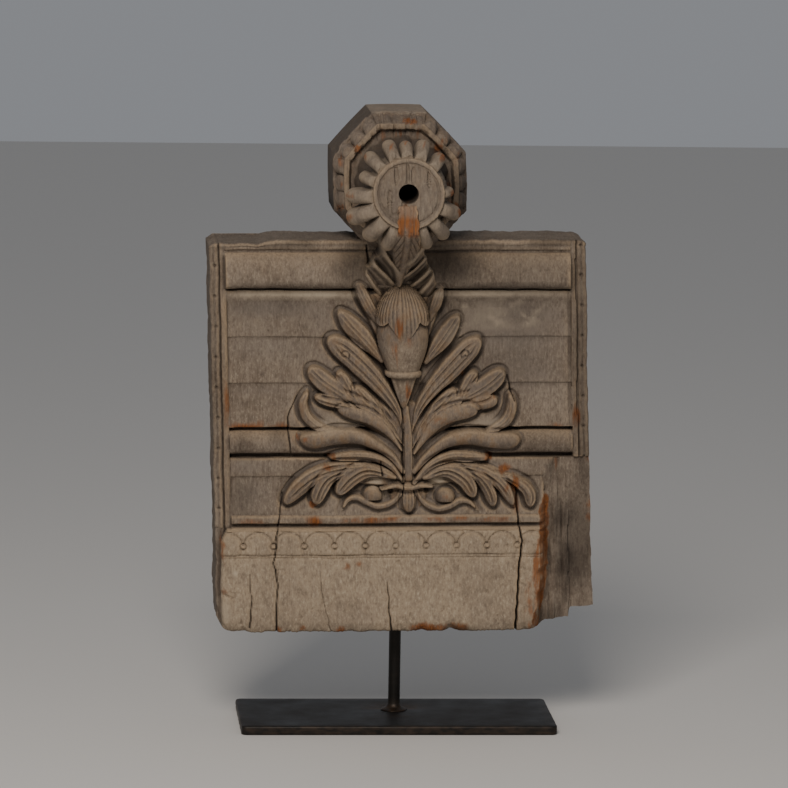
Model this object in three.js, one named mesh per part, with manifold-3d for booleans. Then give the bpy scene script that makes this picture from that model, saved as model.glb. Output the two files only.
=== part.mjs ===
// Carved wooden bracket with a lotus pendant, shown on end on a steel rod and plate.
// Millimetres: X to the viewer's right, Y away from the viewer, Z up.
// The origin is the middle of the foot plate's underside.
//
// The bracket is carved in its own frame: `across` from the rod, `deep` in front of the block's
// middle plane, and `up` from the block's sawn lower end. It is then set on the rod with its lean.
import * as THREE from 'three';
import * as BufferGeometryUtils from 'three/addons/utils/BufferGeometryUtils.js';
import Module from 'manifold-3d';

const wasm = await Module();
wasm.setup();

// Stand
const plate = { length: 320, depth: 140, thick: 9, corner: 6 };
const rod = { diameter: 12, back: 15, sides: 20, socketDepth: 55 };
const weld = { spread: 11, height: 5 };
const touchGap = 0.3;

// Block
const block = { left: -185, right: 194, height: 397, back: -42, underside: 102 };
const lean = { ofSides: THREE.MathUtils.degToRad(1.8), ofEnds: THREE.MathUtils.degToRad(0.5) };
const core = { front: 25 };
const strip = { outer: 10, inner: 8, outerFront: 42, innerFront: 40.5, groove: 2, grooveFront: 37.5 };
const panel = { left: -167.5, right: 178.3 };
const axis = { top: 7.5, bottom: 11.5 };

// Heights up the block of each moulding, from the top down
const level = {
  rim: 386, rollOne: 348, band: 338, fieldOne: 299, fieldTwo: 252.5, fieldThree: 207, rollTwo: 180.5,
  ledge: 176.5, fieldFour: 157.5, fieldFive: 118, fillet: 110, dado: 106.5, scaleLine: 91,
};
const dado = { left: -180, right: 151, front: 50, bevel: 4, clip: 5 };
const scales = { pitch: 30.7, first: -156, count: 10, rise: 1.2, pearl: 3.2, arcSteps: 7 };

// Where the lower right corner broke away, in two sheared layers
const breakaway = { top: 178, shoulder: 134, edge: 151, step: 173, firstFront: 31, secondFront: 28,
  firstFoot: 9, secondFoot: 22 };

// Lotus pendant, on an axis square to the carved face
const pendant = { across: 7.7, up: 455, octagon: 135, tall: 1.052, rimFront: 40, lappetFront: 58,
  fillet: 115, filletFront: 63, recess: 104, recessFront: 56, coreFront: 150, coreRadius: 37,
  disc: 35.5, discFront: 156, ringOuter: 32, ringInner: 29, ringDeep: 1.6, hole: 9.6, holeDeep: 62 };
const petals = { count: 16, radius: 54, wide: 8.8, thick: 6.5, rootDeep: 146, tipDeep: 120 };
const lappets = { perSide: 3, wide: 8, thick: 5 };

// Bud and stem, as radius at each height above the block's lower end
const bud = { across: 7.5, deep: 47, sides: 16 };
const budProfile = [
  [226, 0], [229, 2.2], [244, 8.2], [259, 13.2], [260.5, 17.2], [263, 18.2], [266, 16.4],
  [280, 21.5], [294, 25.4], [312, 24.4],
];
const capProfile = [[309, 23], [312, 27], [323, 27.4], [335, 23.5], [344, 17.5], [350, 12.5], [353, 9]];
const capFlutes = { count: 12, deep: 0.07 };
const stem = { radius: 5, top: 236, foot: 146, deep: 45 };

const timber = new THREE.MeshStandardMaterial({ color: 0x75685a, roughness: 0.85, metalness: 0 });
const blackSteel = new THREE.MeshStandardMaterial({ color: 0x211e1c, roughness: 0.55, metalness: 0.6 });

// Geometry of the carving frame (across, deep, up) as a three.js point
const at = (across, deep, up) => new THREE.Vector3(across, -deep, up);

function toSolid(geometry) {
  const bare = geometry.clone();
  bare.deleteAttribute('normal');
  bare.deleteAttribute('uv');
  const merged = BufferGeometryUtils.mergeVertices(bare, 1e-4);
  return new wasm.Manifold(new wasm.Mesh({
    numProp: 3,
    vertProperties: new Float32Array(merged.attributes.position.array),
    triVerts: new Uint32Array(merged.index.array),
  }));
}

function toGeometry(solid) {
  const mesh = solid.getMesh();
  const geometry = new THREE.BufferGeometry();
  geometry.setAttribute('position', new THREE.BufferAttribute(new Float32Array(mesh.vertProperties), 3));
  geometry.setIndex(new THREE.BufferAttribute(new Uint32Array(mesh.triVerts), 1));
  const flat = geometry.toNonIndexed();
  flat.computeVertexNormals();
  return flat;
}

const joined = (solids) => solids.reduce((whole, next) => whole.add(next));

function signedVolume(points, faces) {
  let total = 0;
  for (let i = 0; i < faces.length; i += 3) {
    const a = points[faces[i]];
    const b = points[faces[i + 1]];
    const c = points[faces[i + 2]];
    total += a.dot(b.clone().cross(c)) / 6;
  }
  return total;
}

// A closed skin over a row of rings with the same number of points, with flat ends
function loft(rings) {
  const around = rings[0].length;
  const points = rings.flat();
  const faces = [];
  for (let ring = 0; ring < rings.length - 1; ring += 1) {
    for (let side = 0; side < around; side += 1) {
      const here = ring * around + side;
      const next = ring * around + (side + 1) % around;
      faces.push(here, next, next + around, here, next + around, here + around);
    }
  }
  [0, rings.length - 1].forEach((ring) => {
    const middle = new THREE.Vector3();
    rings[ring].forEach((point) => middle.addScaledVector(point, 1 / around));
    const hub = points.push(middle) - 1;
    for (let side = 0; side < around; side += 1) {
      const here = ring * around + side;
      const next = ring * around + (side + 1) % around;
      faces.push(...(ring === 0 ? [hub, next, here] : [hub, here, next]));
    }
  });
  if (signedVolume(points, faces) < 0) faces.reverse();
  const geometry = new THREE.BufferGeometry().setFromPoints(points);
  geometry.setIndex(faces);
  return toSolid(geometry);
}

// An outline drawn on the carved face, made solid from one depth to another
function slab(outline, deepFrom, deepTo) {
  const shape = new THREE.Shape(outline.map(([across, up]) => new THREE.Vector2(across, up)));
  const geometry = new THREE.ExtrudeGeometry(shape, { depth: deepTo - deepFrom, bevelEnabled: false });
  geometry.rotateX(Math.PI / 2);
  geometry.translate(0, -deepFrom, 0);
  return toSolid(geometry);
}

const bar = (left, right, foot, top, deepFrom, deepTo) => slab(
  [[left, foot], [right, foot], [right, top], [left, top]], deepFrom, deepTo,
);

// A moulding profile of (up, deep) points, run across from left to right
function run(profile, left, right) {
  return loft([left, right].map((across) => profile.map(([up, deep]) => at(across, deep, up))));
}

const axisAt = (up) => THREE.MathUtils.mapLinear(up, 300, 130, axis.top, axis.bottom);

// The right half of the spray spreads a little wider than the left above the lower roll
const rightSpread = (up) => (up > level.rollTwo ? 1.06 : 0.98);
const mirrored = (points) => points.map(([across, up]) => [
  axisAt(up) + rightSpread(up) * (axisAt(up) - across), up,
]);

// One leaf lobe: a ridged blade along a curve on the face. `bows` lists the curve's points from root
// to tip. `swell` is where along its length it is widest.
function lobe({ bows, wide, high, base = 24, swell = 0.6, steps = 4, blunt = 0.35 }) {
  const spine = new THREE.CatmullRomCurve3(bows.map(([across, up]) => at(across, 0, up)));
  const rings = [];
  for (let step = 0; step <= steps; step += 1) {
    const t = step / steps;
    const middle = spine.getPointAt(t);
    const along = spine.getTangentAt(t);
    const side = new THREE.Vector3(along.z, 0, -along.x);
    const grown = Math.sin(Math.PI * 0.5 * Math.min(1, 0.35 + 0.65 * (t / swell)));
    const closing = t > swell ? 1 - (1 - blunt) * ((t - swell) / (1 - swell)) ** 2 : 1;
    const half = 0.5 * wide * grown * closing * (step === steps ? 0.55 : 1);
    const top = high - (step === steps ? 3 : 0);
    const section = [[-1, base], [-1, top - 4], [-0.62, top - 0.6], [0, top - 1.8], [0.62, top - 0.6],
      [1, top - 4], [1, base]];
    rings.push(section.map(([out, deep]) => {
      const point = middle.clone().addScaledVector(side, out * half);
      point.y = -deep;
      return point;
    }));
  }
  return loft(rings);
}

// Low ground that the lobes rise from, round the stem
const leafGround = { bows: [[11, 140], [10, 240]], wide: 60, high: 46, swell: 0.3, blunt: 0.6 };

// Lobes of the left half of the spray, from the bud down. The right half mirrors them.
const leafLobes = [
  { bows: [[-16, 313], [-28, 334], [-37.5, 354]], wide: 14, high: 53 },
  { bows: [[-13, 276], [-30, 296], [-57, 327]], wide: 21, high: 47 },
  { bows: [[7, 203], [-11, 244], [-48, 284], [-68, 299.5]], wide: 23, high: 49, swell: 0.74, steps: 5 },
  { bows: [[-40, 233], [-49, 248], [-58, 266]], wide: 14, high: 48 },
  { bows: [[-5, 203], [-30, 236], [-41.5, 250]], wide: 15, high: 47.5 },
  { bows: [[-42, 228], [-60, 234], [-83, 239]], wide: 14.5, high: 49 },
  { bows: [[7, 189], [-30, 228], [-74, 256], [-87.5, 269.5]], wide: 21, high: 48, swell: 0.8, steps: 5 },
  { bows: [[5, 185], [-26, 217], [-60.5, 227.5]], wide: 15.5, high: 50.5 },
  { bows: [[-59, 203], [-83, 211], [-93, 231], [-88, 246.5]], wide: 12.5, high: 48 },
  { bows: [[6, 163], [-20, 189.5], [-62, 199], [-99, 198]], wide: 18.5, high: 53, swell: 0.82, steps: 5 },
  { bows: [[5.5, 153], [-19, 176], [-69.5, 177]], wide: 13, high: 51 },
  { bows: [[3, 156], [-30, 168], [-78, 161], [-115, 129.5]], wide: 18, high: 50.5, swell: 0.74, steps: 6 },
  { bows: [[-45.5, 166], [-70, 156], [-83, 128.5]], wide: 17, high: 51 },
  { bows: [[-3, 158], [-29.5, 164.5], [-47.5, 156], [-62, 139]], wide: 18, high: 52 },
];
const extraRightLobe = { bows: [[88, 162], [107, 146], [117.5, 127]], wide: 14, high: 50.5 };
const scrollStem = {
  bows: [[5.5, 148], [-9, 129.5], [-24, 128], [-41, 136.5], [-57, 122.5]], wide: 8.5, high: 46.5, base: 34,
};
const scrollBall = { across: -25, up: 138.4, radius: 9.6, deep: 38.5 };
const collar = {
  bows: [[-16, 145.5], [-2, 149], [10.5, 146.5], [24.5, 149], [38, 147.5]], wide: 8, high: 52, steps: 6,
};
const dropLeaf = { bows: [[10.5, 149], [11, 135], [10.6, 120]], wide: 14.5, high: 50 };

function ball(across, deep, up, radius, detail = [10, 5]) {
  const geometry = new THREE.SphereGeometry(radius, ...detail);
  const centre = at(across, deep, up);
  geometry.translate(centre.x, centre.y, centre.z);
  return toSolid(geometry);
}

function makeLeaves() {
  const solids = [];
  [...leafLobes, scrollStem].forEach((one) => {
    solids.push(lobe(one));
    solids.push(lobe({ ...one, bows: mirrored(one.bows) }));
  });
  const [[mirrorAcross]] = mirrored([[scrollBall.across, scrollBall.up]]);
  [scrollBall.across, mirrorAcross].forEach((across) => {
    solids.push(ball(across, scrollBall.deep, scrollBall.up, scrollBall.radius));
  });
  [leafGround, extraRightLobe, collar, dropLeaf].forEach((one) => solids.push(lobe(one)));
  return solids;
}

// A shape turned about an upright axis in front of the panel
function turned(profile, across, deep, sides, flute = () => 1) {
  const rings = profile.map(([up, radius]) => Array.from({ length: sides }, (unused, side) => {
    const angle = 2 * Math.PI * side / sides;
    const reach = Math.max(radius, 0.4) * flute(angle);
    return at(across + reach * Math.cos(angle), deep + reach * Math.sin(angle), up);
  }));
  return loft(rings);
}

function makeBud() {
  const fluted = (angle) => 1 + capFlutes.deep * Math.cos(capFlutes.count * angle);
  const body = turned(budProfile, bud.across, bud.deep, bud.sides);
  const cap = turned(capProfile, bud.across, bud.deep, capFlutes.count * 2, fluted);
  const stemProfile = [[stem.foot, stem.radius], [stem.top, stem.radius * 0.8]];
  return [body, cap, turned(stemProfile, axisAt(200), stem.deep, 8)];
}

// Points on a regular ring about the pendant's axis; flats sit level when `turn` is half a step
function pendantRing(radius, deep, sides, turn = 0, tall = 1) {
  return Array.from({ length: sides }, (unused, side) => {
    const angle = 2 * Math.PI * (side + turn) / sides;
    return at(pendant.across + radius * Math.cos(angle), deep, pendant.up + radius * tall * Math.sin(angle));
  });
}

// The eight-sided block is a little taller than it is wide
const octagonRing = (acrossFlats, deep) => pendantRing(
  acrossFlats / 2 / Math.cos(Math.PI / 8), deep, 8, 0.5, pendant.tall,
);

// A short blunt petal from a root point to a tip point, flat side towards `out`. The stations are
// its width, as a share, at each share of its length.
const plainStations = [[0, 0.62], [0.6, 1], [1, 0.5]];
const roundStations = [[0, 0.62], [0.6, 1], [0.9, 0.8], [1, 0.4]];

function petal(root, tip, out, wide, thick, stations = plainStations) {
  const along = tip.clone().sub(root).normalize();
  const side = new THREE.Vector3().crossVectors(along, out).normalize();
  const face = new THREE.Vector3().crossVectors(side, along).normalize();
  const rings = stations.map(([t, grow]) => {
    const middle = root.clone().lerp(tip, t);
    return Array.from({ length: 6 }, (unused, corner) => {
      const angle = 2 * Math.PI * corner / 6;
      return middle.clone()
        .addScaledVector(side, wide * grow * Math.cos(angle))
        .addScaledVector(face, thick * grow * Math.sin(angle));
    });
  });
  return loft(rings);
}

const outward = (angle) => new THREE.Vector3(Math.cos(angle), 0, Math.sin(angle));

function makePendant() {
  const axisPoint = (deep) => at(pendant.across, deep, pendant.up);
  const octagon = loft([
    octagonRing(pendant.octagon, block.back), octagonRing(pendant.octagon, pendant.rimFront),
    octagonRing(pendant.fillet, pendant.lappetFront), octagonRing(pendant.fillet, pendant.filletFront),
    octagonRing(pendant.recess, pendant.filletFront), octagonRing(pendant.recess, pendant.recessFront),
  ]);
  const round = 20;
  const bell = loft([
    pendantRing(46, pendant.recessFront - 4, round), pendantRing(38, 78, round),
    pendantRing(34, 100, round), pendantRing(pendant.coreRadius, pendant.coreFront, round),
    pendantRing(pendant.disc, pendant.discFront, round),
  ]);
  const solids = [octagon, bell];
  for (let n = 0; n < petals.count; n += 1) {
    const angle = 2 * Math.PI * n / petals.count;
    const out = outward(angle);
    const isTongue = n === petals.count * 0.75;
    if (!isTongue) {
      const root = axisPoint(petals.rootDeep).addScaledVector(out, pendant.disc - 4);
      const tip = axisPoint(petals.tipDeep).addScaledVector(out, petals.radius);
      solids.push(petal(root, tip, out, petals.wide, petals.thick, roundStations));
    }
  }
  const sideLength = pendant.octagon * Math.tan(Math.PI / 8);
  for (let facet = -1; facet < 6; facet += 1) {
    const angle = 2 * Math.PI * facet / 8;
    const out = outward(angle);
    const sideways = new THREE.Vector3(-Math.sin(angle), 0, Math.cos(angle));
    for (let n = 0; n < lappets.perSide; n += 1) {
      const shift = sideLength * ((n + 0.5) / lappets.perSide - 0.5) * 0.94;
      const root = axisPoint(pendant.lappetFront).addScaledVector(out, pendant.fillet / 2 - 2);
      const tip = axisPoint(pendant.rimFront + 3).addScaledVector(out, pendant.octagon / 2 - 3.5);
      root.addScaledVector(sideways, shift * 0.9);
      tip.addScaledVector(sideways, shift);
      [root, tip].forEach((end) => {
        end.z = pendant.up + (end.z - pendant.up) * pendant.tall;
      });
      solids.push(petal(root, tip, out, lappets.wide, lappets.thick));
    }
  }
  return solids;
}

// Keel that runs from the disc back down to the bud, as (up, deep, half width)
const keel = [[440, 155.5, 8], [426, 157.5, 9], [411, 150, 10], [396, 130, 13], [382, 108, 12],
  [368, 86, 7], [354, 66, 3.5]];

// Sheaths folded over each other on the neck, as their outer and inner ends (across, deep, up)
const neckFolds = [
  { outer: [-12, 99, 395], inner: [1, 76, 371], wide: 4.5 },
  { outer: [-20, 82, 381], inner: [-5, 62, 359], wide: 4.5 },
  { outer: [-28, 66, 371], inner: [-15, 50, 345], wide: 4 },
  { outer: [27, 92, 387], inner: [11, 74, 369], wide: 4.5 },
  { outer: [32, 77, 373], inner: [18, 60, 356], wide: 4.5 },
  { outer: [37, 64, 369], inner: [26, 50, 347], wide: 4 },
];

// Solid timber behind the folds, from under the pendant down to the bud
const neckSections = [
  { up: 424, deep: 112, half: 26 }, { up: 400, deep: 100, half: 31 }, { up: 384, deep: 85, half: 32 },
  { up: 365, deep: 66, half: 26 }, { up: 346, deep: 51, half: 17 },
];

function makeNeck() {
  const inside = 30;
  const rings = keel.map(([up, deep, half]) => [
    at(pendant.across - half * 0.7, inside, up), at(pendant.across - half, deep - 7, up),
    at(pendant.across, deep, up), at(pendant.across + half, deep - 7, up),
    at(pendant.across + half * 0.7, inside, up),
  ]);
  const mass = loft(neckSections.map(({ up, deep, half }) => [
    at(pendant.across - half, inside, up), at(pendant.across - half * 0.8, deep, up),
    at(pendant.across + half * 0.8, deep, up), at(pendant.across + half, inside, up),
  ]));
  const solids = [loft(rings), mass];
  neckFolds.forEach(({ outer, inner, wide }) => {
    solids.push(petal(at(...outer), at(...inner), outward(Math.PI / 2), wide, wide));
  });
  return solids;
}

// Panel mouldings, as the front's depth at each height from the rim down
const mouldings = [
  [block.height, 20], [block.height, 38], [394, 42], [389, 42], [level.rim, 39.5],
  [383, 44], [376, 48.5], [366, 51.5], [356, 52.5], [350.5, 51], [level.rollOne, 47],
  [level.rollOne - 0.5, 33], [346.2, 33], [345.7, 40], [level.band, 40.5], [level.band - 0.5, 36],
  [322, 35.4], [level.fieldOne, 37.3], [level.fieldOne - 0.5, 35.6], [level.fieldTwo, 38.6],
  [level.fieldTwo - 0.5, 36.6], [level.fieldThree, 40.3], [level.fieldThree - 0.5, 29], [204, 29],
  [203.5, 37], [199, 41.5], [192, 43.5], [184.5, 41.5], [level.rollTwo, 38], [level.rollTwo - 0.5, 25],
  [level.ledge, 25], [level.ledge - 0.3, 37.4], [level.fieldFour, 39.4], [level.fieldFour - 0.5, 37.8],
  [level.fieldFive, 41], [level.fieldFive - 0.3, 44], [level.fillet, 44.4], [level.fillet - 0.5, 39.5],
  [level.dado - 6, 39.5],
  [level.dado - 6, 20],
];

function makePanel() {
  const solids = [run(mouldings, panel.left - 1, panel.right + 1)];
  const outerEdges = [block.left, block.right - strip.outer];
  const innerEdges = [block.left + strip.outer - 0.5, block.right - strip.outer - strip.inner + 0.5];
  outerEdges.forEach((left) => {
    solids.push(bar(left, left + strip.outer, 22, block.height, core.front - 1, strip.outerFront));
  });
  innerEdges.forEach((left) => {
    const top = block.height - 4;
    solids.push(bar(left, left + strip.inner, level.dado, top, core.front - 1, strip.innerFront));
  });
  return solids;
}

// The scored line between the two strips of each side frame
function makeStripGrooves() {
  const lines = [block.left + strip.outer - 1, block.right - strip.outer - 1];
  return lines.map((left) => bar(
    left, left + strip.groove, level.dado, block.height - 3, strip.grooveFront, strip.outerFront + 2,
  ));
}

// The plain block below the mouldings, with its row of scales and pearls
function makeDado() {
  const { left, right, front, bevel, clip } = dado;
  const face = slab([
    [left + 10, 0], [right - 12, 0], [right - 6, 8], [right - 3, 34], [right, 50], [right + 2, 74],
    [right + 1, level.dado], [left + clip, level.dado], [left, level.dado - clip], [left - 3, 12],
    [left, 4],
  ], 18, front - 2);
  const raised = slab([
    [left + 12, 2], [right - 13, 2], [right - 7, 9], [right - 4, 34], [right - 1, 50], [right + 1, 74],
    [right, 103], [left + clip, 103], [left + 2, 103 - clip], [left - 1, 13], [left + 3, 5],
  ], front - bevel, front);
  const solids = [face, raised];
  for (let n = 0; n < scales.count; n += 1) {
    const across = scales.first + scales.pitch * n;
    const arc = [];
    for (let step = 0; step <= scales.arcSteps; step += 1) {
      const angle = Math.PI * (1 - step / scales.arcSteps);
      const reach = 0.46 * scales.pitch;
      const middle = across + scales.pitch / 2;
      arc.push([middle + reach * Math.cos(angle), level.scaleLine + 11 * Math.sin(angle)]);
    }
    const last = n === scales.count - 1;
    if (!last) solids.push(slab(arc, front - 2, front + scales.rise));
    solids.push(ball(across, front - 0.5, level.scaleLine - 3, scales.pearl, [6, 4]));
  }
  return solids;
}

// Back, ends and core of the block, with its chipped rim and stepped lower right corner
function makeCore() {
  const { left, right, height, back } = block;
  const b = breakaway;
  const whole = [
    [left + 12, 0], [dado.right - 9, 0], [dado.right - 4, b.firstFoot - 1], [b.step, b.firstFoot + 3],
    [b.step, b.secondFoot - 1], [right + 5, b.secondFoot + 1], [right + 3, 110],
    [right + 1, 200], [right, height - 4], [right - 5, height], [-110, height], [-118, height - 2],
    [-128, height - 1.5], [-143, height - 4], [-170, height - 3], [-181, height - 5], [left, height - 7],
    [left, 12], [left + 4, 4],
  ];
  return slab(whole, back, core.front);
}

function makeBreakCuts() {
  const b = breakaway;
  const reach = 60;
  const first = slab([
    [b.edge - 8, -5], [b.edge - 3, 30], [b.edge + 1, 60], [b.edge + 1.5, b.shoulder],
    [b.edge - 4, b.shoulder + 24], [b.edge + 8, b.top - 8], [b.step + 8, b.top - 4], [230, b.top - 22],
    [230, -5],
  ], b.firstFront, reach);
  const second = slab([
    [b.step - 1, -5], [b.step, 60], [b.step - 3, b.shoulder - 10], [b.step + 6, b.shoulder + 20],
    [230, b.top - 30], [230, -5],
  ], b.secondFront, reach);
  return [first, second];
}

// Deep drying cracks, as (across, up, half width) down the face
const cracks = [
  { line: [[122, 142, 0.4], [123, 108, 1.4], [125, 80, 1.6], [122, 40, 1.8], [120, -2, 2]], from: 20 },
  { line: [[-117, 128, 0.2], [-121, 100, 0.4], [-125, 72, 0.5], [-123, 40, 0.6], [-126, -2, 0.8]],
    from: 36 },
];

function makeCracks() {
  return cracks.map(({ line, from }) => {
    const leftSide = line.map(([across, up, half]) => [across - half, up]);
    const rightSide = line.map(([across, up, half]) => [across + half, up]).reverse();
    return slab([...leftSide, ...rightSide], from, 60);
  });
}

function makeBracket() {
  const carved = joined([makeCore(), ...makePanel(), ...makeDado()]);
  const cuts = [...makeStripGrooves(), ...makeBreakCuts(), ...makeCracks()];
  const parted = cuts.reduce((rest, cut) => rest.subtract(cut), carved);
  const dressed = joined([parted, ...makeLeaves(), ...makeBud(), ...makeNeck(), ...makePendant()]);
  const behind = bar(-400, 400, -200, 800, -200, block.back);
  const dowelHole = loft([
    pendantRing(pendant.hole, pendant.discFront + 10, 24),
    pendantRing(pendant.hole, pendant.discFront - pendant.holeDeep, 24),
  ]);
  const incised = loft([
    pendantRing(pendant.ringOuter, pendant.discFront + 5, 24),
    pendantRing(pendant.ringOuter, pendant.discFront - pendant.ringDeep, 24),
  ]).subtract(loft([
    pendantRing(pendant.ringInner, pendant.discFront + 6, 24),
    pendantRing(pendant.ringInner, pendant.discFront - pendant.ringDeep - 1, 24),
  ]));
  return dressed.subtract(behind).subtract(dowelHole).subtract(incised);
}

// The block stands a little out of true: its sides lean more than its ends
function setOnRod(solid) {
  const { ofSides, ofEnds } = lean;
  const moved = new THREE.Matrix4().set(
    Math.cos(ofEnds), 0, -Math.sin(ofSides), 0,
    0, 1, 0, 0,
    Math.sin(ofEnds), 0, Math.cos(ofSides), block.underside,
    0, 0, 0, 1,
  );
  const geometry = toGeometry(solid);
  geometry.applyMatrix4(moved);
  return toSolid(geometry);
}

function roundBar(radius, foot, top, sides) {
  const geometry = new THREE.CylinderGeometry(radius, radius, top - foot, sides);
  geometry.rotateX(Math.PI / 2);
  geometry.translate(0, rod.back, (foot + top) / 2);
  return toSolid(geometry);
}

const rodTop = block.underside + rod.socketDepth;

function makeRod() {
  const foot = plate.thick + touchGap;
  const radius = rod.diameter / 2;
  const profile = [
    [0, foot], [radius + weld.spread, foot],
    [radius + weld.spread * 0.55, foot + weld.height * 0.35], [radius, foot + weld.height],
    [radius, rodTop - 1], [radius - 1, rodTop], [0, rodTop],
  ];
  const geometry = new THREE.LatheGeometry(profile.map(([r, z]) => new THREE.Vector2(r, z)), rod.sides);
  geometry.rotateX(Math.PI / 2);
  geometry.translate(0, rod.back, 0);
  return geometry;
}

function makePlate() {
  const { length, depth, thick, corner } = plate;
  const half = [length / 2, depth / 2];
  const outline = new THREE.Shape();
  outline.moveTo(half[0] - corner, -half[1]);
  outline.absarc(half[0] - corner, corner - half[1], corner, -Math.PI / 2, 0);
  outline.absarc(half[0] - corner, half[1] - corner, corner, 0, Math.PI / 2);
  outline.absarc(corner - half[0], half[1] - corner, corner, Math.PI / 2, Math.PI);
  outline.absarc(corner - half[0], corner - half[1], corner, Math.PI, 1.5 * Math.PI);
  return new THREE.ExtrudeGeometry(outline, {
    depth: thick - 2, bevelEnabled: true, bevelThickness: 1, bevelSize: 1, bevelOffset: -1,
    bevelSegments: 1, curveSegments: 3,
  }).translate(0, 0, 1);
}

function named(name, geometry, material) {
  const mesh = new THREE.Mesh(geometry, material);
  mesh.name = name;
  return mesh;
}

const socket = roundBar(rod.diameter / 2 + touchGap, block.underside - 30, rodTop + touchGap, rod.sides);
const bracket = setOnRod(makeBracket()).subtract(socket);

const part = new THREE.Group();
part.add(named('bracket', toGeometry(bracket), timber));
part.add(named('stand_plate', makePlate(), blackSteel));
part.add(named('stand_rod', makeRod(), blackSteel));

export default part;
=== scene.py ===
import math
import bpy
import numpy as np
from mathutils import Matrix, Vector


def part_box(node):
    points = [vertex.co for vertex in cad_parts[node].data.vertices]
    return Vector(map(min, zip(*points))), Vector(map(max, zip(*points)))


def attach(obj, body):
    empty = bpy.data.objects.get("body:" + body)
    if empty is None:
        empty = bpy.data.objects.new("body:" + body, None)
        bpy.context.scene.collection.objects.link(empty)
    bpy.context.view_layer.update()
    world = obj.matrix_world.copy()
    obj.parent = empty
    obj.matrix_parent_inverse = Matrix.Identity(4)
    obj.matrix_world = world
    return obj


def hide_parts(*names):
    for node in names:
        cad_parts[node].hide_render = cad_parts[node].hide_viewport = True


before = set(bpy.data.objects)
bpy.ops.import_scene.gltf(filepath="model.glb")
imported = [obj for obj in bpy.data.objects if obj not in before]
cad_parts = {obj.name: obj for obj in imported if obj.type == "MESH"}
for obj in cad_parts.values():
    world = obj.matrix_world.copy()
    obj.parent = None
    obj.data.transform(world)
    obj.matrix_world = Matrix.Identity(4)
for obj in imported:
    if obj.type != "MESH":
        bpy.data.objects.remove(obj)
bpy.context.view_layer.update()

# The foot plate: flat bar steel, sawn to length, corners and edges eased on a grinder, then
# blackened and waxed. It carries everything else, so its size comes straight from the frame.
MM = 0.001
plate_low, plate_high = [np.array(corner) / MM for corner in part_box("stand_plate")]
plate_corner, plate_edge = 6.0, 1.3
plate_reach = 110.0


def patches(across, up, wide, tall, seed):
    """Smooth random heights from -1 to 1, with a new one every `wide` by `tall` mm."""
    knots = np.random.default_rng(seed).uniform(-1, 1, (97, 89))
    x, y = np.asarray(across) / wide, np.asarray(up) / tall
    i, j = np.floor(x).astype(int), np.floor(y).astype(int)
    s, t = x - i, y - j
    s, t = s * s * (3 - 2 * s), t * t * (3 - 2 * t)
    left = knots[i % 97, j % 89] * (1 - t) + knots[i % 97, (j + 1) % 89] * t
    right = knots[(i + 1) % 97, j % 89] * (1 - t) + knots[(i + 1) % 97, (j + 1) % 89] * t
    return left * (1 - s) + right * s


def piece(name, points, faces):
    """A mesh piece from points in mm, with faces turned to point outwards."""
    mesh = bpy.data.meshes.new(name)
    mesh.from_pydata((np.asarray(points) * MM).tolist(), [], faces)
    mesh.update()
    thing = bpy.data.objects.new(name, mesh)
    bpy.context.scene.collection.objects.link(thing)
    mesh.polygons.foreach_set("use_smooth", [True] * len(mesh.polygons))
    return thing


def hoops(rings):
    """Points and faces of a skin over equal rings, closed by a flat face at each end."""
    rings = np.asarray(rings, float)
    count, around = rings.shape[:2]
    faces = []
    for ring in range(count - 1):
        here = ring * around
        for side in range(around):
            turn = (side + 1) % around
            faces.append((here + side, here + turn, here + around + turn, here + around + side))
    last = (count - 1) * around
    faces += [tuple(range(around - 1, -1, -1)), tuple(range(last, last + around))]
    return rings.reshape(-1, 3), faces


def plate_outline(inset, level, steps=7, straight_steps=24):
    """One ring of the plate: a rectangle with round corners, dented a little along its sides."""
    half = (plate_high - plate_low)[:2] / 2 - inset
    round_by = max(plate_corner - inset, 0.4)
    ring = []
    for corner in range(4):
        toward = np.array([1 if corner in (0, 3) else -1, 1 if corner in (0, 1) else -1])
        centre = toward * (half - round_by)
        for step in range(steps):
            angle = math.pi / 2 * (corner + step / (steps - 1))
            ring.append(centre + round_by * np.array([math.cos(angle), math.sin(angle)]))
        end = ring[-1]
        ahead = [(-half[0] + round_by, half[1]), (-half[0], -half[1] + round_by),
                 (half[0] - round_by, -half[1]), (half[0], half[1] - round_by)][corner]
        ring.extend(end + (np.array(ahead) - end) * n / straight_steps for n in range(1, straight_steps))
    ring = np.array(ring)
    dents = 0.25 * patches(ring[:, 0] + 3 * level, ring[:, 1], 9, 9, 11) - 0.25
    ring *= (1 + dents / plate_reach)[:, None]
    return np.column_stack([ring, np.full(len(ring), level)])


plate_top = plate_high[2]
plate_rings = [plate_outline(40, 0.0), plate_outline(plate_edge, 0.0), plate_outline(0.35, 0.4)]
plate_rings += [plate_outline(0.0, level) for level in np.linspace(plate_edge, plate_top - plate_edge, 5)]
plate_rings += [plate_outline(0.35, plate_top - 0.4), plate_outline(plate_edge, plate_top)]
plate_rings += [plate_outline(inset, plate_top) for inset in (12, 26, 40, 55)]
plate = piece("foot_plate", *hoops(plate_rings))


def hex_colour(text):
    """An sRGB hex colour as linear red, green, blue and alpha."""
    values = [int(text[n:n + 2], 16) / 255 for n in (1, 3, 5)]
    return [v / 12.92 if v <= 0.04045 else ((v + 0.055) / 1.055) ** 2.4 for v in values] + [1.0]


def node(tree, kind, links=(), **settings):
    """Adds one node. Links are (input, source socket); settings are its own fields or inputs."""
    made = tree.nodes.new(kind)
    for key, value in settings.items():
        if key.startswith("in_"):
            name = key[3:].replace("_", " ")
            socket = made.inputs[int(name)] if name.isdigit() else made.inputs[name]
            socket.default_value = value
        else:
            setattr(made, key, value)
    for target, source in links:
        tree.links.new(source, made.inputs[target])
    return made


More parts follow.
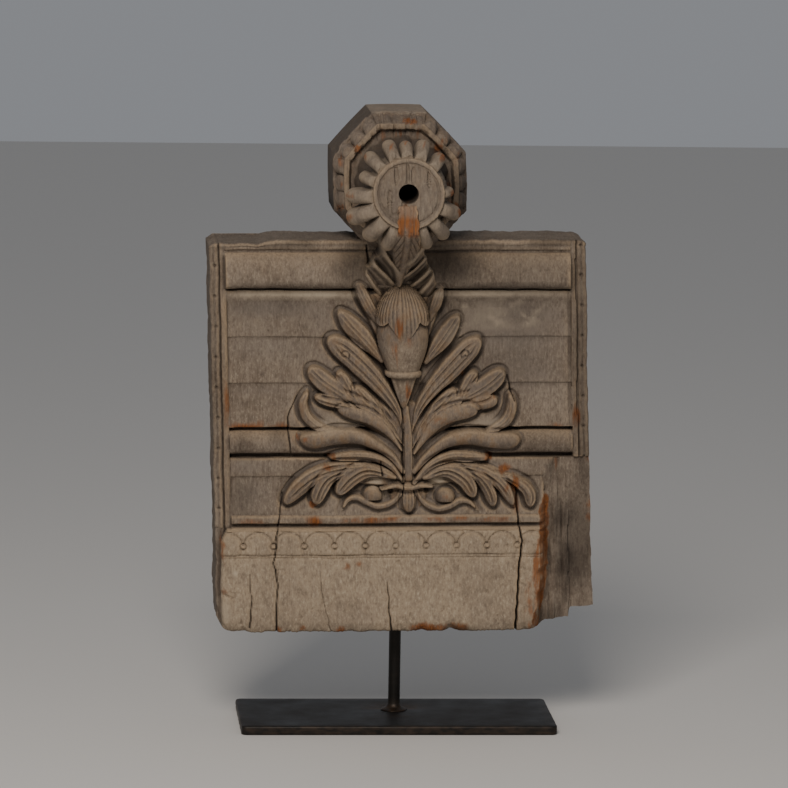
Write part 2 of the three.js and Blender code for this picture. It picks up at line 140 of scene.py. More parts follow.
def new_material(name):
    material = bpy.data.materials.new(name)
    material.use_nodes = True
    tree = material.node_tree
    tree.nodes.clear()
    shader = node(tree, "ShaderNodeBsdfPrincipled")
    node(tree, "ShaderNodeOutputMaterial", [("Surface", shader.outputs[0])])
    return material, tree, shader


def textures(tree, grains):
    """Noise from 0 to 1 for each (sizes in mm along X, Y and Z, detail, roughness)."""
    place = node(tree, "ShaderNodeTexCoord").outputs["Object"]
    found = []
    for sizes, detail, rough in grains:
        steps = node(tree, "ShaderNodeVectorMath", [(0, place)], operation="MULTIPLY",
                     in_1=[1 / (size * MM) for size in sizes])
        found.append(node(tree, "ShaderNodeTexNoise", [("Vector", steps.outputs[0])], in_Scale=1.0,
                          in_Detail=detail, in_Roughness=rough).outputs["Fac"])
    return found


def coats(tree, colour, layers):
    """Lays colours over `colour`. A layer is (mark on the piece or None, pattern, the pattern's low
    and high ends, how much covers at each end, colour)."""
    for name, pattern, low, high, faint, full, tint in layers:
        amount = node(tree, "ShaderNodeMapRange", [("Value", pattern)], in_From_Min=low, in_From_Max=high,
                      in_To_Min=faint, in_To_Max=full).outputs[0]
        if name:
            here = node(tree, "ShaderNodeAttribute", attribute_name=name).outputs["Fac"]
            amount = node(tree, "ShaderNodeMath", [(0, here), (1, amount)], operation="MULTIPLY",
                          use_clamp=True).outputs[0]
        colour = node(tree, "ShaderNodeMix", [(0, amount), (6, colour)], data_type="RGBA",
                      in_7=hex_colour(tint)).outputs[2]
    return colour


# Blackened mild steel, hot rolled and waxed: a warm near-black with soft satin patches, rubbed
# brown where edges are handled, and rust round the weld.
steel, tree, shader = new_material("blackened_waxed_steel")
cloud, speck, smear, bloom = textures(tree, [
    ((38, 38, 20), 4, 0.55), ((1.6, 1.6, 1.6), 2, 0.55), ((9, 9, 4), 4, 0.55), ((5, 5, 5), 5, 0.55)])
scale_black = node(tree, "ShaderNodeRGB").outputs[0]
scale_black.default_value = hex_colour("#181613")
colour = coats(tree, scale_black, [
    (None, cloud, 0.35, 0.65, 0, 1, "#24201c"),
    ("rubbed", smear, 0.38, 0.62, 0, 0.75, "#40342a"),
    ("rusty", bloom, 0.3, 0.6, 0, 1, "#45311f"),
])
tree.links.new(colour, shader.inputs["Base Color"])
sheen_range = node(tree, "ShaderNodeMapRange", [("Value", cloud)], in_From_Min=0.3, in_From_Max=0.7,
                   in_To_Min=0.42, in_To_Max=0.6)
tree.links.new(sheen_range.outputs[0], shader.inputs["Roughness"])
shader.inputs["Metallic"].default_value = 0.5
bumps = node(tree, "ShaderNodeBump", [("Height", speck)], in_Strength=0.35, in_Distance=0.00025)
tree.links.new(bumps.outputs[0], shader.inputs["Normal"])


def mark(thing, name, values):
    """Stores one number per point on a piece, for its material."""
    layer = thing.data.attributes.new(name, "FLOAT", "POINT")
    layer.data.foreach_set("value", np.asarray(values, np.float32))


def points_of(thing):
    flat = np.empty(len(thing.data.vertices) * 3, np.float32)
    thing.data.vertices.foreach_get("co", flat)
    return flat.reshape(-1, 3) / MM


spots = points_of(plate)
half_plate = (plate_high - plate_low) / 2
from_rim = np.minimum(half_plate[0] - abs(spots[:, 0]), half_plate[1] - abs(spots[:, 1]))
mark(plate, "rubbed", np.clip(1.3 - from_rim / 2.5, 0, 1) * (spots[:, 2] > 1))
rod_low, rod_high = [np.array(corner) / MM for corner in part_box("stand_rod")]
rod_centre = (rod_low + rod_high)[:2] / 2
mark(plate, "rusty", np.clip(1.2 - np.hypot(*(spots[:, :2] - rod_centre).T) / 34, 0, 1))
plate.data.materials.append(steel)
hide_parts("stand_plate")
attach(plate, "root")

# The rod: round mild steel bar, welded upright on the plate and blackened with it. It goes up
# into a socket drilled in the block's sawn end.
rod_radius, rod_steps = 6.0, 56
weld_reach = 17.0
foot_level = plate_top + 0.3


def rod_ring(radius, level, lumps=0.0):
    angle = np.linspace(0, 2 * math.pi, rod_steps, endpoint=False)
    swell = radius + lumps * patches(angle * 9, np.full(rod_steps, level * 1.0), 4.5, 1.7, 5)
    return np.column_stack([rod_centre[0] + swell * np.cos(angle), rod_centre[1] + swell * np.sin(angle),
                            np.full(rod_steps, level)])


rod_rings = [rod_ring(weld_reach * 0.6, foot_level), rod_ring(weld_reach - 3, foot_level, 1.4)]
for rise, radius in ((0.5, 13.6), (1.1, 12.6), (1.7, 11), (2.2, 9.4), (3.0, 8.2), (4.2, 7.2), (5.6, 6.3)):
    rod_rings.append(rod_ring(radius, foot_level + rise, 0.9 * (radius - 6) / 7))
rod_rings += [rod_ring(rod_radius, level) for level in np.linspace(foot_level + 7, rod_high[2] - 1, 26)]
rod_rings.append(rod_ring(rod_radius - 1, rod_high[2]))
rod = piece("support_rod", *hoops(rod_rings))
spots = points_of(rod)
mark(rod, "rubbed", np.full(len(spots), 0.15))
mark(rod, "rusty", np.clip(0.7 - (spots[:, 2] - foot_level) / 14, 0, 1))
rod.data.materials.append(steel)
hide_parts("stand_rod")
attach(rod, "root")

# The block: one baulk of teak with its grain upright, sawn square and carved on the face that
# looked down when it crowned a column. All sizes are mm in the carver's own frame: across from
# the rod, up from the sawn lower end, and deep, forward of the block's middle.
block_left, block_right, block_height, block_back = -185.0, 194.0, 397.0, -42.0
block_underside = 102.0
side_lean, end_lean = math.radians(1.8), math.radians(0.5)
carving_pitch = 0.88


def set_in_place(across, deep, up):
    """Carver's frame to the model's own frame, with the block's slight lean out of true."""
    return np.stack([across * math.cos(end_lean) - up * math.sin(side_lean), -deep + 0 * across,
                     across * math.sin(end_lean) + up * math.cos(side_lean) + block_underside], -1)


def lines(*stretches):
    """Line positions for a carving grid: (from, to, pitch) stretches, in multiples of four steps."""
    found = []
    for low, high, pitch in stretches:
        count = 4 * max(1, round((high - low) / pitch / 4))
        found.append(np.linspace(low, high, count, endpoint=False))
    return np.append(np.concatenate(found), stretches[-1][1])


def ease(value, low, high):
    t = np.clip((value - low) / (high - low), 0, 1)
    return t * t * (3 - 2 * t)


def bell(value, width, power=2):
    """1 where `value` is 0, falling away to nothing over about two widths."""
    return np.exp(-(value / width) ** power)


def waver(place, length, seed):
    """Smooth wander from -1 to 1 of a line, with a new one every `length` mm along it."""
    return patches(place, np.zeros(np.shape(place)), length, 1, seed)


across_lines = lines((block_left, -122, carving_pitch * 1.3), (-122, -24, carving_pitch * 0.9),
                     (-24, 38, carving_pitch * 0.6), (38, 150, carving_pitch * 0.9),
                     (150, block_right, carving_pitch * 1.2))
up_lines = lines((0, 112, carving_pitch * 1.1), (112, 356, carving_pitch * 0.9),
                 (356, block_height, carving_pitch))
across, up = np.meshgrid(across_lines, up_lines)


def uneven(wide, tall, seed):
    """Random heights from -1 to 1 on the carving grid, with a new one every `wide` by `tall` mm."""
    return patches(across, up, wide, tall, seed)


# Mouldings, from the rim down, as the front's depth at each height
mouldings = np.array([
    [397, 40.6], [395.5, 41.6], [393, 42], [391.6, 41.2], [390, 42.2], [388, 42.4], [387, 41.8],
    [386.4, 40.2], [384.8, 40.4], [384.2, 43], [381, 46], [376, 48.8], [370, 50.8], [363, 52],
    [356, 52.4], [352, 51.6], [350, 50], [348.6, 47], [348, 36.5], [346.6, 36.5], [346, 40.2],
    [341, 39.8], [338, 38.4], [334, 36.6], [328, 35.6], [318, 35.4], [300, 37.4], [299, 37.2],
    [298, 35.8], [275, 36], [253.5, 38.6], [252.5, 38.4], [251.5, 36.8], [230, 37.6], [209, 40.4],
    [207.8, 40.2], [206.9, 31], [204.6, 31], [203.6, 37], [200, 40.8], [196, 43], [192, 43.6],
    [187, 42.8], [183, 40.8], [181, 38], [180.2, 30.5], [177, 30.5], [176.2, 37.4], [174, 38.2],
    [158.3, 39.4], [157, 37.8], [140, 38.8], [119, 41], [118.2, 43.6], [116, 44.6], [111, 44.4],
    [110, 42.6], [109.2, 39.5], [107.2, 39.5], [106.4, 47], [0, 47]])[::-1]
tool_wander = 0.55 * uneven(70, 300, 1) + 0.3 * uneven(17, 500, 2)
moulding_height = up + tool_wander + 0.9 * ease(across, 60, 180) * ease(up, 320, 350)
deep = np.interp(moulding_height, mouldings[:, 0], mouldings[:, 1])
deep += 0.4 * uneven(26, 30, 3) + 0.2 * uneven(6, 9, 4)

# Side frames: a flat inner strip and an outer strip either side of a scored line
strip_wander = 0.5 * waver(up, 40, 6)
left_in, right_in = across - block_left + strip_wander, block_right - across + strip_wander
for inward, tilt, frame_wide in ((left_in, 0.0, 17.6), (right_in, 0.4, 16.2)):
    outer = 40.5 - 0.9 * bell(inward - 4.6, 0.9) - 3.2 * bell(inward - 10.2, 1.1)
    inner = 40.8 - tilt - 1.2 * ease(inward, 14.5, 17)
    framed = np.where(inward < 10.8, outer, inner)
    rolls = ease(moulding_height, 347, 349) * ease(inward, 15, 16.5)
    deep = np.where(inward < frame_wide, framed * (1 - rolls) + deep * rolls, deep)
    deep -= 0.8 * bell(inward - 18.4, 0.9) * (moulding_height < 346) * (moulding_height > 110)

# Notches nicked along both outer arrises at the spacing of a chisel's template
notch_pitch = 30.7
for inward, first in ((left_in, 18.0), (right_in, 8.0)):
    phase = (up - first) % notch_pitch - notch_pitch / 2
    deep -= 2.6 * (bell(phase, 1.5) * bell(inward - 5.0, 1.7) * (up > 125))

# The plain block below: a proud slab with eased arrises, a band of scored scales with pearls in
# the cusps between them, and two scored lines under the band
dado_left, dado_front, dado_top = -180.0, 50.0, 106.4
slope_in = np.clip((up - 92) / 14, 0, 1) * 8 * (across < -150) * 0.9
dado_edge = np.minimum(across - dado_left - slope_in, dado_top - moulding_height)
dado_edge = np.minimum(dado_edge, (up + 1.5) * 0.9)
face = dado_front - 3.6 * (1 - ease(dado_edge, 0, 2.6)) - 2.2 * (1 - ease(up, 0, 11))
face += 0.5 * uneven(48, 70, 7) + 0.25 * uneven(12, 24, 8)
face += 0.3 * uneven(2.4, 4.5, 10) + 0.3 * patches(across + 0.5 * up, up, 3.4, 7.5, 12)
scale_pitch, scale_first, scale_cusp, scale_radius = 30.7, -156.3, 91.0, 15.0
beside = (across - scale_first) % scale_pitch
from_middle = beside - scale_pitch / 2
arc_gap = np.hypot(from_middle, (up - scale_cusp + 3.5) * 1.02) - scale_radius
banded = (up > scale_cusp - 13) & (up < 105)
domed = 0.7 * ease(-arc_gap, 0, 2.5) * (up > 79) * banded
scored = 1.5 * bell(arc_gap, 0.9) * ease(up, 86, 90) * banded
from_cusp = np.minimum(beside, scale_pitch - beside)
pearl_gap = np.hypot(from_cusp, up - scale_cusp + 3.2)
pearls = 1.3 * bell(pearl_gap, 1.5, 4) - 2.1 * bell(pearl_gap - 3.0, 0.85)
tick = 0.8 * bell(from_cusp, 0.7) * (up > 79) * (up < scale_cusp - 5)
scored_lines = sum(cut * bell(moulding_height - height, 0.75)
                   for height, cut in ((103.0, 1.1), (79.0, 1.8), (76.2, 1.2)))
worn_away = 1 - 0.4 * ease(uneven(30, 20, 9), 0.1, 0.7)
face += (domed - scored + pearls * banded - tick) * worn_away - scored_lines * worn_away
gouge_x, gouge_y = across + 171, up - 37
gouge_along, gouge_beside = gouge_x * 0.93 - gouge_y * 0.37, gouge_y * 0.93 + gouge_x * 0.37
face -= 1.7 * np.exp(-(gouge_along / 8) ** 4 - (gouge_beside / 1.2) ** 2)
face -= 1.1 * ease(uneven(5.5, 8, 13), 0.72, 0.95)
on_dado = dado_edge > 0
behind_dado = np.where(moulding_height < dado_top, np.minimum(deep, 39), deep)
deep = np.where(on_dado, face, behind_dado)

# The leaf spray: acanthus cut in relief from the same face. Each lobe has a rounded back that
# drops steeply to the field, with a trench cut round it so that it reads from below.
blade_height = np.full_like(deep, -99.0)
trench = np.zeros_like(deep)


def curve_through(knots, count=40):
    """Evenly spaced points on a smooth curve through the knots."""
    knots = np.asarray(knots, float)
    ends = np.vstack([2 * knots[0] - knots[1], knots, 2 * knots[-1] - knots[-2]])
    found = []
    for n in range(1, len(ends) - 2):
        p0, p1, p2, p3 = ends[n - 1:n + 3]
        for t in np.linspace(0, 1, 14, endpoint=False):
            found.append(0.5 * (2 * p1 + (p2 - p0) * t + (2 * p0 - 5 * p1 + 4 * p2 - p3) * t ** 2
                                + (3 * p1 - p0 - 3 * p2 + p3) * t ** 3))
    found = np.array(found + [knots[-1]])
    length = np.concatenate([[0], np.cumsum(np.hypot(*np.diff(found, axis=0).T))])
    even = np.linspace(0, length[-1], count)
    return np.column_stack([np.interp(even, length, found[:, n]) for n in (0, 1)]), length[-1]


def along_and_aside(curve, x, y):
    """How far along a curve each point lies, from 0 to 1 and a little beyond, and how far to its
    left, in mm."""
    best = np.full(x.shape, 1e9)
    along, aside = np.zeros(x.shape), np.zeros(x.shape)
    steps = np.diff(curve, axis=0)
    for n, (start, step) in enumerate(zip(curve[:-1], steps)):
        rel_x, rel_y = x - start[0], y - start[1]
        furthest = 1 + (8 / math.hypot(*step) if n == len(steps) - 1 else 0)
        t = np.clip((rel_x * step[0] + rel_y * step[1]) / (step @ step), 0, furthest)
        gap = np.hypot(rel_x - t * step[0], rel_y - t * step[1])
        nearer = gap < best
        best = np.where(nearer, gap, best)
        along = np.where(nearer, (n + t) / len(steps), along)
        aside = np.where(nearer, gap * np.where(step[0] * rel_y < step[1] * rel_x, -1, 1), aside)
    return along, aside


def carve(knots, wide, crest, root=0.4, swell=0.65, blunt=0.5, scored=((0, 1.4),), arch=3.4, wall=2.4,
          sink=0.0, cut=2.6, ground=33.0):
    """Raises one lobe from root to tip. `root` is its width at the start as a share of `wide`, and
    `swell` where it is widest. `scored` lists (place, depth) of lines cut along its back, `arch` is
    how far the back falls to its edges, `sink` how far it dips at the root, `cut` the trench."""
    curve, length = curve_through(knots)
    reach = wide / 2 + 6
    low, high = curve.min(0) - reach, curve.max(0) + reach
    columns = slice(*np.searchsorted(across_lines, (low[0], high[0])))
    rows = slice(*np.searchsorted(up_lines, (low[1], high[1])))
    x, y = across[rows, columns], up[rows, columns]
    s, d = along_and_aside(curve, x, y)
    full = wide * 0.54 * (root + (1 - root) * np.sin(math.pi / 2 * np.clip(s / swell, 0, 1)) ** 1.3)
    past = np.clip(s - swell, 0, None) / (1 - swell)
    power = 1.5 + 2 * blunt
    rounded = np.sqrt(past ** power + (d / full) ** 2) + 1e-6
    fall = power / 2 * past ** (power - 1) / (length * (1 - swell))
    slope = np.hypot(fall, abs(d) / full ** 2) / rounded
    inside = (1 - rounded) / np.maximum(slope, 0.3 / full) + 0.3 * patches(x, y, 7, 7, 21)
    share = d / full
    top = crest - sink * (1 - ease(s, 0, 0.5)) - 2.2 * ease(s, 1 - 4 / length, 1.0)
    back = top - arch * np.clip(rounded, 0, 1.2) ** 2
    fade = ease(s, 0.03, 0.2) * ease(1 - s, 0.03, 0.16)
    if len(scored) == 1:
        back -= 1.1 * fade * bell(abs(share) - 0.45, 0.22)
    for place, depth in scored:
        off_line = d - place * full * np.sqrt(np.clip(1 - past ** power, 0, 1)) * (0.35 + 0.65 * fade)
        back += fade * depth * (0.35 * bell(abs(off_line) - 2.0, 0.9) - bell(off_line, 1.0))
    lobe = ground + (back - ground) * ease(inside, -0.3, wall)
    kept = np.where(inside > -0.3, lobe, -99)
    edge_cut = cut * bell(inside + 1.3, 1.5) * ease(s, 0.08, 0.35) * (inside < 0.4)
    was = blade_height[rows, columns]
    lowered = np.where(was > 0, was - edge_cut * (was < top + 1), was)
    blade_height[rows, columns] = np.maximum(lowered, kept)
    trench[rows, columns] = np.maximum(trench[rows, columns], edge_cut)


# Low ground that each group of lobes rises from
for bed in ([(8, 186), (-24, 222), (-76, 250)], [(15, 184), (46, 221), (96, 247)]):
    carve(bed, 34, 43.6, root=0.3, swell=0.5, scored=(), arch=1.6, wall=5, cut=0)
carve([(11, 140), (10, 240)], 62, 43.2, root=0.7, swell=0.3, scored=(), arch=2.5, wall=7, cut=0)
for bed in ([(-13, 306), (-22, 345)], [(28, 306), (37, 345)]):
    carve(bed, 25, 44, root=0.8, swell=0.6, blunt=2, scored=(), arch=2, wall=4, cut=0)
for bed in ([(8, 152), (-40, 163), (-88, 158)], [(16, 152), (60, 163), (112, 156)]):
    carve(bed, 26, 45, root=0.5, swell=0.5, scored=(), arch=2.5, wall=3, cut=0.5)

# The lobes from the bud down, as (what a kind shares, [(line from root to tip, its own sizes)])
twin = ((-0.42, 1.6), (0.42, 1.6))
fluted = ((-0.5, 1.0), (0.02, 2.1), (0.52, 0.9))
lobes = [
    # a pair beside the bud, a plain broad blade, and the feather with an eye near its tip
    (dict(root=0.6, swell=0.55, sink=7), [
        ([(-16, 313), (-27.7, 334), (-37.4, 355)], dict(wide=14, crest=55)),
        ([(35, 317), (41.4, 333), (47.6, 352)], dict(wide=13, crest=54))]),
    (dict(swell=0.55, blunt=0.2), [
        ([(-13.6, 276), (-29.4, 295), (-44, 311), (-56.5, 326.5)], dict(wide=21, crest=48, arch=5)),
        ([(30.5, 274), (48, 296.6), (65.5, 322)], dict(wide=19, crest=47, arch=4))]),
    (dict(crest=50, root=0.2, swell=0.74, blunt=0.8, sink=3), [
        ([(7.3, 203), (1.6, 224), (-11, 244), (-30, 266), (-48.6, 284), (-68, 299.5)],
         dict(wide=23.5, scored=((-0.3, 1.7), (0.34, 1.6)))),
        ([(15.4, 203), (22.7, 226), (36, 246), (52.4, 264), (70, 282.4), (86.5, 299)],
         dict(wide=22.5, scored=((-0.34, 1.6), (0.3, 1.7))))]),
    # the leaf of five lobes, its lowest a stem and a broad tip
    (dict(crest=49, root=0.5), [
        ([(-38.4, 231), (-48.2, 248), (-58, 266)], dict(wide=15)),
        ([(62, 231), (71.4, 249), (81.8, 265.5)], dict(wide=14.5))]),
    (dict(wide=16, crest=49, root=0.3), [
        ([(-4.7, 203), (-18.5, 222), (-30.3, 236), (-41.4, 250.6)], {}),
        ([(24.4, 199), (36.7, 220), (49, 234), (61.4, 247.4)], {})]),
    ({}, [
        ([(-42.5, 228), (-60.5, 234), (-83, 239)],
         dict(wide=14.5, crest=49.6, root=0.6, swell=0.5, scored=twin)),
        ([(64, 228), (84, 232.6), (104, 236)],
         dict(wide=16.5, crest=50, root=0.55, swell=0.6, scored=()))]),
    (dict(wide=11, crest=48.4, root=0.4, swell=0.5, scored=(), arch=2.5, sink=2), [
        ([(7, 189), (-8.7, 210), (-30.5, 228), (-57, 244)], {}),
        ([(16, 187), (29.6, 211.6), (50, 230), (77, 242)], {})]),
    (dict(wide=20.5, crest=49.6, root=0.35, swell=0.52, blunt=0.7, sink=1), [
        ([(-46, 236.5), (-60, 246), (-74, 256), (-87.5, 269.5)], {}),
        ([(66, 236), (80, 242.4), (94.5, 252), (110.5, 266)], {})]),
    (dict(swell=0.72, scored=(), arch=5), [
        ([(5, 185), (-8.8, 203.7), (-26.6, 217), (-44.6, 223), (-60.4, 227.4)],
         dict(wide=15.5, crest=51.5, root=0.35)),
        ([(17, 182), (30.4, 201.5), (45.7, 216.6), (64, 223.6), (83.8, 225)],
         dict(wide=18, crest=52, root=0.3))]),
    # the hooked tip and the long lobe over the lower roll, then its pointed neighbour
    (dict(crest=48.5, root=0.8, arch=4), [
        ([(-59, 203), (-77, 208), (-89, 218), (-93.1, 231.4), (-88, 246.5)],
         dict(wide=12.5, swell=0.45, scored=((0.1, 1.0),))),
        ([(94, 203), (110.2, 214), (116.4, 227.5), (115.4, 243)],
         dict(wide=13, swell=0.5, scored=((-0.1, 1.0),)))]),
    (dict(wide=18.5, crest=54, root=0.45, blunt=0.35, scored=(), arch=6.5, sink=4), [
        ([(5.7, 163), (-5, 178.3), (-20, 189.5), (-39, 198.7), (-62, 199), (-84, 195.4), (-99, 198)],
         dict(swell=0.84)),
        ([(16.8, 163), (31, 179), (50.4, 193), (71.7, 198), (93.8, 195.4), (110.9, 194.4), (126, 197)],
         dict(swell=0.86))]),
    (dict(crest=51.5, root=0.5, arch=4), [
        ([(5.6, 153), (-5.3, 168), (-19.3, 176.3), (-37.3, 179), (-52.4, 178.6), (-69.4, 177)],
         dict(wide=12.5, swell=0.6, scored=((0.15, 1.0),))),
        ([(16.6, 152), (33, 169), (53.3, 178), (73.4, 178), (93.6, 176.8)],
         dict(wide=13.5, swell=0.65, scored=((-0.15, 1.0),)))]),
    # the drooping acanthus at the foot, outermost lobe first, with one more on the right
    (dict(wide=15, crest=49.5, root=0.5, scored=twin), [
        ([(100, 161), (121, 152.5), (132.5, 141), (134, 124.6)], {})]),
    (dict(crest=51, swell=0.74, arch=4, sink=2), [
        ([(2.6, 156), (-17.4, 166), (-47.6, 167.6), (-78, 161.3), (-98, 148), (-115, 129.5)],
         dict(wide=18, root=0.35, scored=((-0.4, 1.1), (0.15, 1.8)))),
        ([(19.7, 154), (43, 166), (73.3, 166), (93.3, 158.4), (107.3, 146), (117.6, 127)],
         dict(wide=15, root=0.4, scored=((-0.15, 1.8), (0.4, 1.1))))]),
    (dict(crest=51.6, scored=fluted), [
        ([(-45.6, 166), (-68, 157.2), (-77.6, 145), (-83, 128.6)], dict(wide=17)),
        ([(65, 166), (82.2, 156.5), (92.1, 143.2), (97.4, 126)], dict(wide=14.5))]),
    (dict(crest=52.4, root=0.4, swell=0.62, scored=fluted), [
        ([(-3, 158), (-29.5, 164.6), (-47.6, 156), (-62, 139)], dict(wide=18.5)),
        ([(27, 157), (49, 164), (67.6, 154.5), (78.4, 135.4)], dict(wide=18))]),
]
for shared, pair in lobes:
    for knots, own in pair:
        carve(knots, **shared, **own)

# The eye is a small curl, scored where the feather's two lines meet
for eye_across, eye_up, hand in ((-51.0, 282.0, -1), (70.6, 282.4, 1)):
    off_x, off_y = (across - eye_across) * hand, up - eye_up
    from_eye = np.hypot(off_x, off_y)
    turn_round = (np.arctan2(off_y, off_x) + 2.4) % (2 * math.pi)
    spiral = bell(from_eye - 1.4 - 0.62 * turn_round, 0.8) * (from_eye < 6.4)
    blade_height += np.where(blade_height > 40, 1.0 * bell(from_eye, 3.4) - 1.9 * spiral, 0)

# Scroll stems with a half ball in each bend, the stalk, the drop leaf under it and the binding
scroll = dict(wide=8.5, crest=46.5, root=0.85, swell=0.5, scored=((0.0, 0.9),), arch=2.2, cut=1.6)
carve([(5.5, 148), (1.3, 137.5), (-9, 129.6), (-21, 127.4), (-31, 131.6), (-41, 136.4), (-50, 134),
       (-57, 122.5)], **scroll)
carve([(17.5, 147), (21.4, 137.4), (29.4, 129), (40.4, 124.6), (52.5, 127), (62.7, 132.6), (73, 131),
       (81.5, 122)], **scroll)
ball_radius = 9.6
for ball_across, ball_up in ((-24.9, 138.4), (48.6, 136.4)):
    from_ball = np.hypot(across - ball_across, up - ball_up)
    dome = 38.5 + 0.95 * np.sqrt(np.clip(ball_radius ** 2 - from_ball ** 2, 0, None))
    dome = np.maximum(blade_height, dome * ease(up - ball_up, -6.5, -4.5))
    blade_height = np.where(from_ball < ball_radius, dome, blade_height)
    trench = np.maximum(trench, 2.4 * bell(from_ball - 11, 1.3))
carve([(9.5, 228), (11.6, 200), (11.5, 146)], wide=11, crest=47.6, root=0.8, swell=0.5, blunt=3,
      scored=(), arch=2, cut=1.6)
carve([(10.5, 149), (11, 135), (10.6, 120)], wide=14.5, crest=50, root=0.7, swell=0.5,
      scored=((0, 1.2),), arch=3)
carve([(-16, 145.6), (-2, 149), (10.5, 146.6), (24.6, 149.2), (38, 147.5)], wide=7.5, crest=52,
      root=0.7, swell=0.3, blunt=1.5, scored=(), arch=2.6)
for curl_across, curl_up in ((-7.0, 143.0), (29.5, 143.5)):
    hole = bell(np.hypot(across - curl_across, up - curl_up), 2.6, 4)
    deep -= 3 * hole
    blade_height -= 9 * hole

on_leaf = ease(blade_height - deep, -0.3, 0.6)
field = deep - trench
deep = np.maximum(field, blade_height)

# The bud: a fluted cap with scalloped petals over an egg, a bead, and a fluted cone for its tip
bud_across, bud_deep = 7.5, 47.0
egg = np.array([[226, 0], [229, 2.4], [236, 5.4], [244, 8.4], [252, 11], [259, 13.2], [260, 16.8],
                [261.5, 18.2], [263.5, 18.6], [265.5, 18], [266.5, 16.2], [272, 18.4], [280, 21.6],
                [290, 24.6], [300, 25.9], [308, 25.2], [318, 23], [330, 19]])
cap = np.array([[296, 24.6], [303, 26.8], [312, 27.7], [323, 27.6], [330, 25.8], [338, 22], [345, 17],
                [350, 12.4], [353, 9], [355, 0]])
off_bud = across - bud_across
for shape, is_cap in ((egg, False), (cap, True)):
    radius = np.interp(up, shape[:, 0], shape[:, 1], left=0, right=0)
    turn = np.arcsin(np.clip(off_bud / np.maximum(radius, 0.1), -1, 1))
    if is_cap:
        petal_foot = 298 + 19 * np.clip(abs(turn) / 0.62, 0, 1) ** 1.5
        petal_foot = np.where(abs(turn) > 0.62, 316 - 3.5 * np.sin((abs(turn) - 0.62) * 4.4), petal_foot)
        groove = np.exp(-((turn * 6.4 + 0.5 * patches(up, turn * 9, 30, 3, 63)) % 1 - 0.5) ** 2 / 0.03)
        radius = radius - 1.3 * groove * ease(up, petal_foot - 1, petal_foot + 5)
        radius = np.where(up > petal_foot, radius, 0)
    else:
        cone_flutes = 0.5 * np.cos(turn * 9) * ease(262 - up, 0, 4) * ease(up, 228, 236)
        radius = radius - cone_flutes
    front = bud_deep + np.sqrt(np.clip(radius ** 2 - off_bud ** 2, 0, None))
    deep = np.where((radius > 0.2) & (abs(off_bud) < radius), np.maximum(deep, front), deep)
on_bud = deep - np.maximum(field, blade_height) > 0.5

# Drying cracks that follow the grain through everything, as ([(across, up, width) from the top
# down], depth)
cracks = [
    ([(-98, 240, .2), (-104, 228, .4), (-108.5, 218, .5), (-109, 208, .7), (-108, 196, .6),
      (-107, 181, .4)], 6),
    ([(-116, 142, .3), (-117, 131, .5), (-119, 116, .5), (-121, 106, .6), (-124, 84, .6),
      (-126, 72, .5), (-122.5, 46, .5), (-124, 22, .6), (-125, -2, .9)], 6),
    ([(-80, 63, .2), (-79, 45, .3), (-76.5, 31, .3), (-69, -2, .4)], 3),
    ([(-11.5, 52, .3), (-10.4, 20, .5), (-7.4, -2, .9)], 5),
    ([(120, 147, .3), (120.5, 143, .5), (121.5, 110, .55), (124.3, 93, .6), (122, 68, .65),
      (119.3, 35, .75), (117, -2, 1.0)], 13),
    ([(112, 260, .5), (115.5, 246, .9), (119, 234, .7)], 4),
    ([(6.3, 228, .4), (6, 190, .7), (5.8, 160, .6), (5.5, 138, .4)], 5),
    ([(-16.4, 175, .5), (-15.5, 159, .9)], 4),
    ([(-27.5, 392, .5), (-26, 376, 1.4), (-25.5, 362, .8)], 6),
    ([(-150, 60, .3), (-149, 30, .6), (-151, 4, .8)], 3),
]
cracked = np.zeros_like(deep)
for line, depth in cracks:
    line = np.array(line, float)
    heights = line[::-1, 1]
    middle = np.interp(up, heights, line[::-1, 0]) + 0.7 * waver(up, 7, len(line))
    width = np.interp(up, heights, line[::-1, 2], left=0, right=0) + 0.01
    split = bell(across - middle, 0.55 * width + 0.3) * (width > 0.05)
    deep -= depth * split * np.clip(width, 0, 1)
    cracked = np.maximum(cracked, split * np.clip(width, 0, 1))

# The lower right corner broke away long ago in two sheared layers: a ragged step down from the
# carved face, then a second one, both rough along the grain and blackened by old damp
rough_grain = 1.6 * uneven(3.2, 46, 31) + 1.1 * uneven(1.5, 20, 32) + 1.5 * uneven(12, 26, 33)
break_edge = np.interp(up, [0, 10, 33, 50, 72, 133, 142, 157, 168, 176, 178],
                       [142, 143, 147, 150, 152, 153, 150, 149, 152, 161, 230])
break_edge = break_edge + 0.8 * waver(up, 6, 34) + 0.5 * waver(up, 2, 35)
layer_edge = 173 + 1.2 * waver(up, 9, 36) - 2 * ease(up, 120, 150)
first_layer = 30 + 0.8 * rough_grain + 6.5 * ease(up, 112, 166)
second_layer = 27.5 + 0.4 * rough_grain + 10 * ease(up, 104, 160)
broken = np.where(across > layer_edge, second_layer, first_layer)
past_edge = across - break_edge
torn_back = 9.5 * (1 - 0.75 * ease(up, 118, 150)) + 1.6 * waver(up, 12, 37)
fallen = ease(past_edge + 0.5 * uneven(2.4, 30, 38), -torn_back, 0.8)
deep = np.minimum(deep, broken + np.clip(deep - broken, 0, None) * (1 - fallen))
is_broken = ease(past_edge, -0.5, 1.5)
sound = 1 - is_broken
raw_edge = ease(past_edge, -torn_back - 1.0, -torn_back + 1.5) * sound * (up < 138)

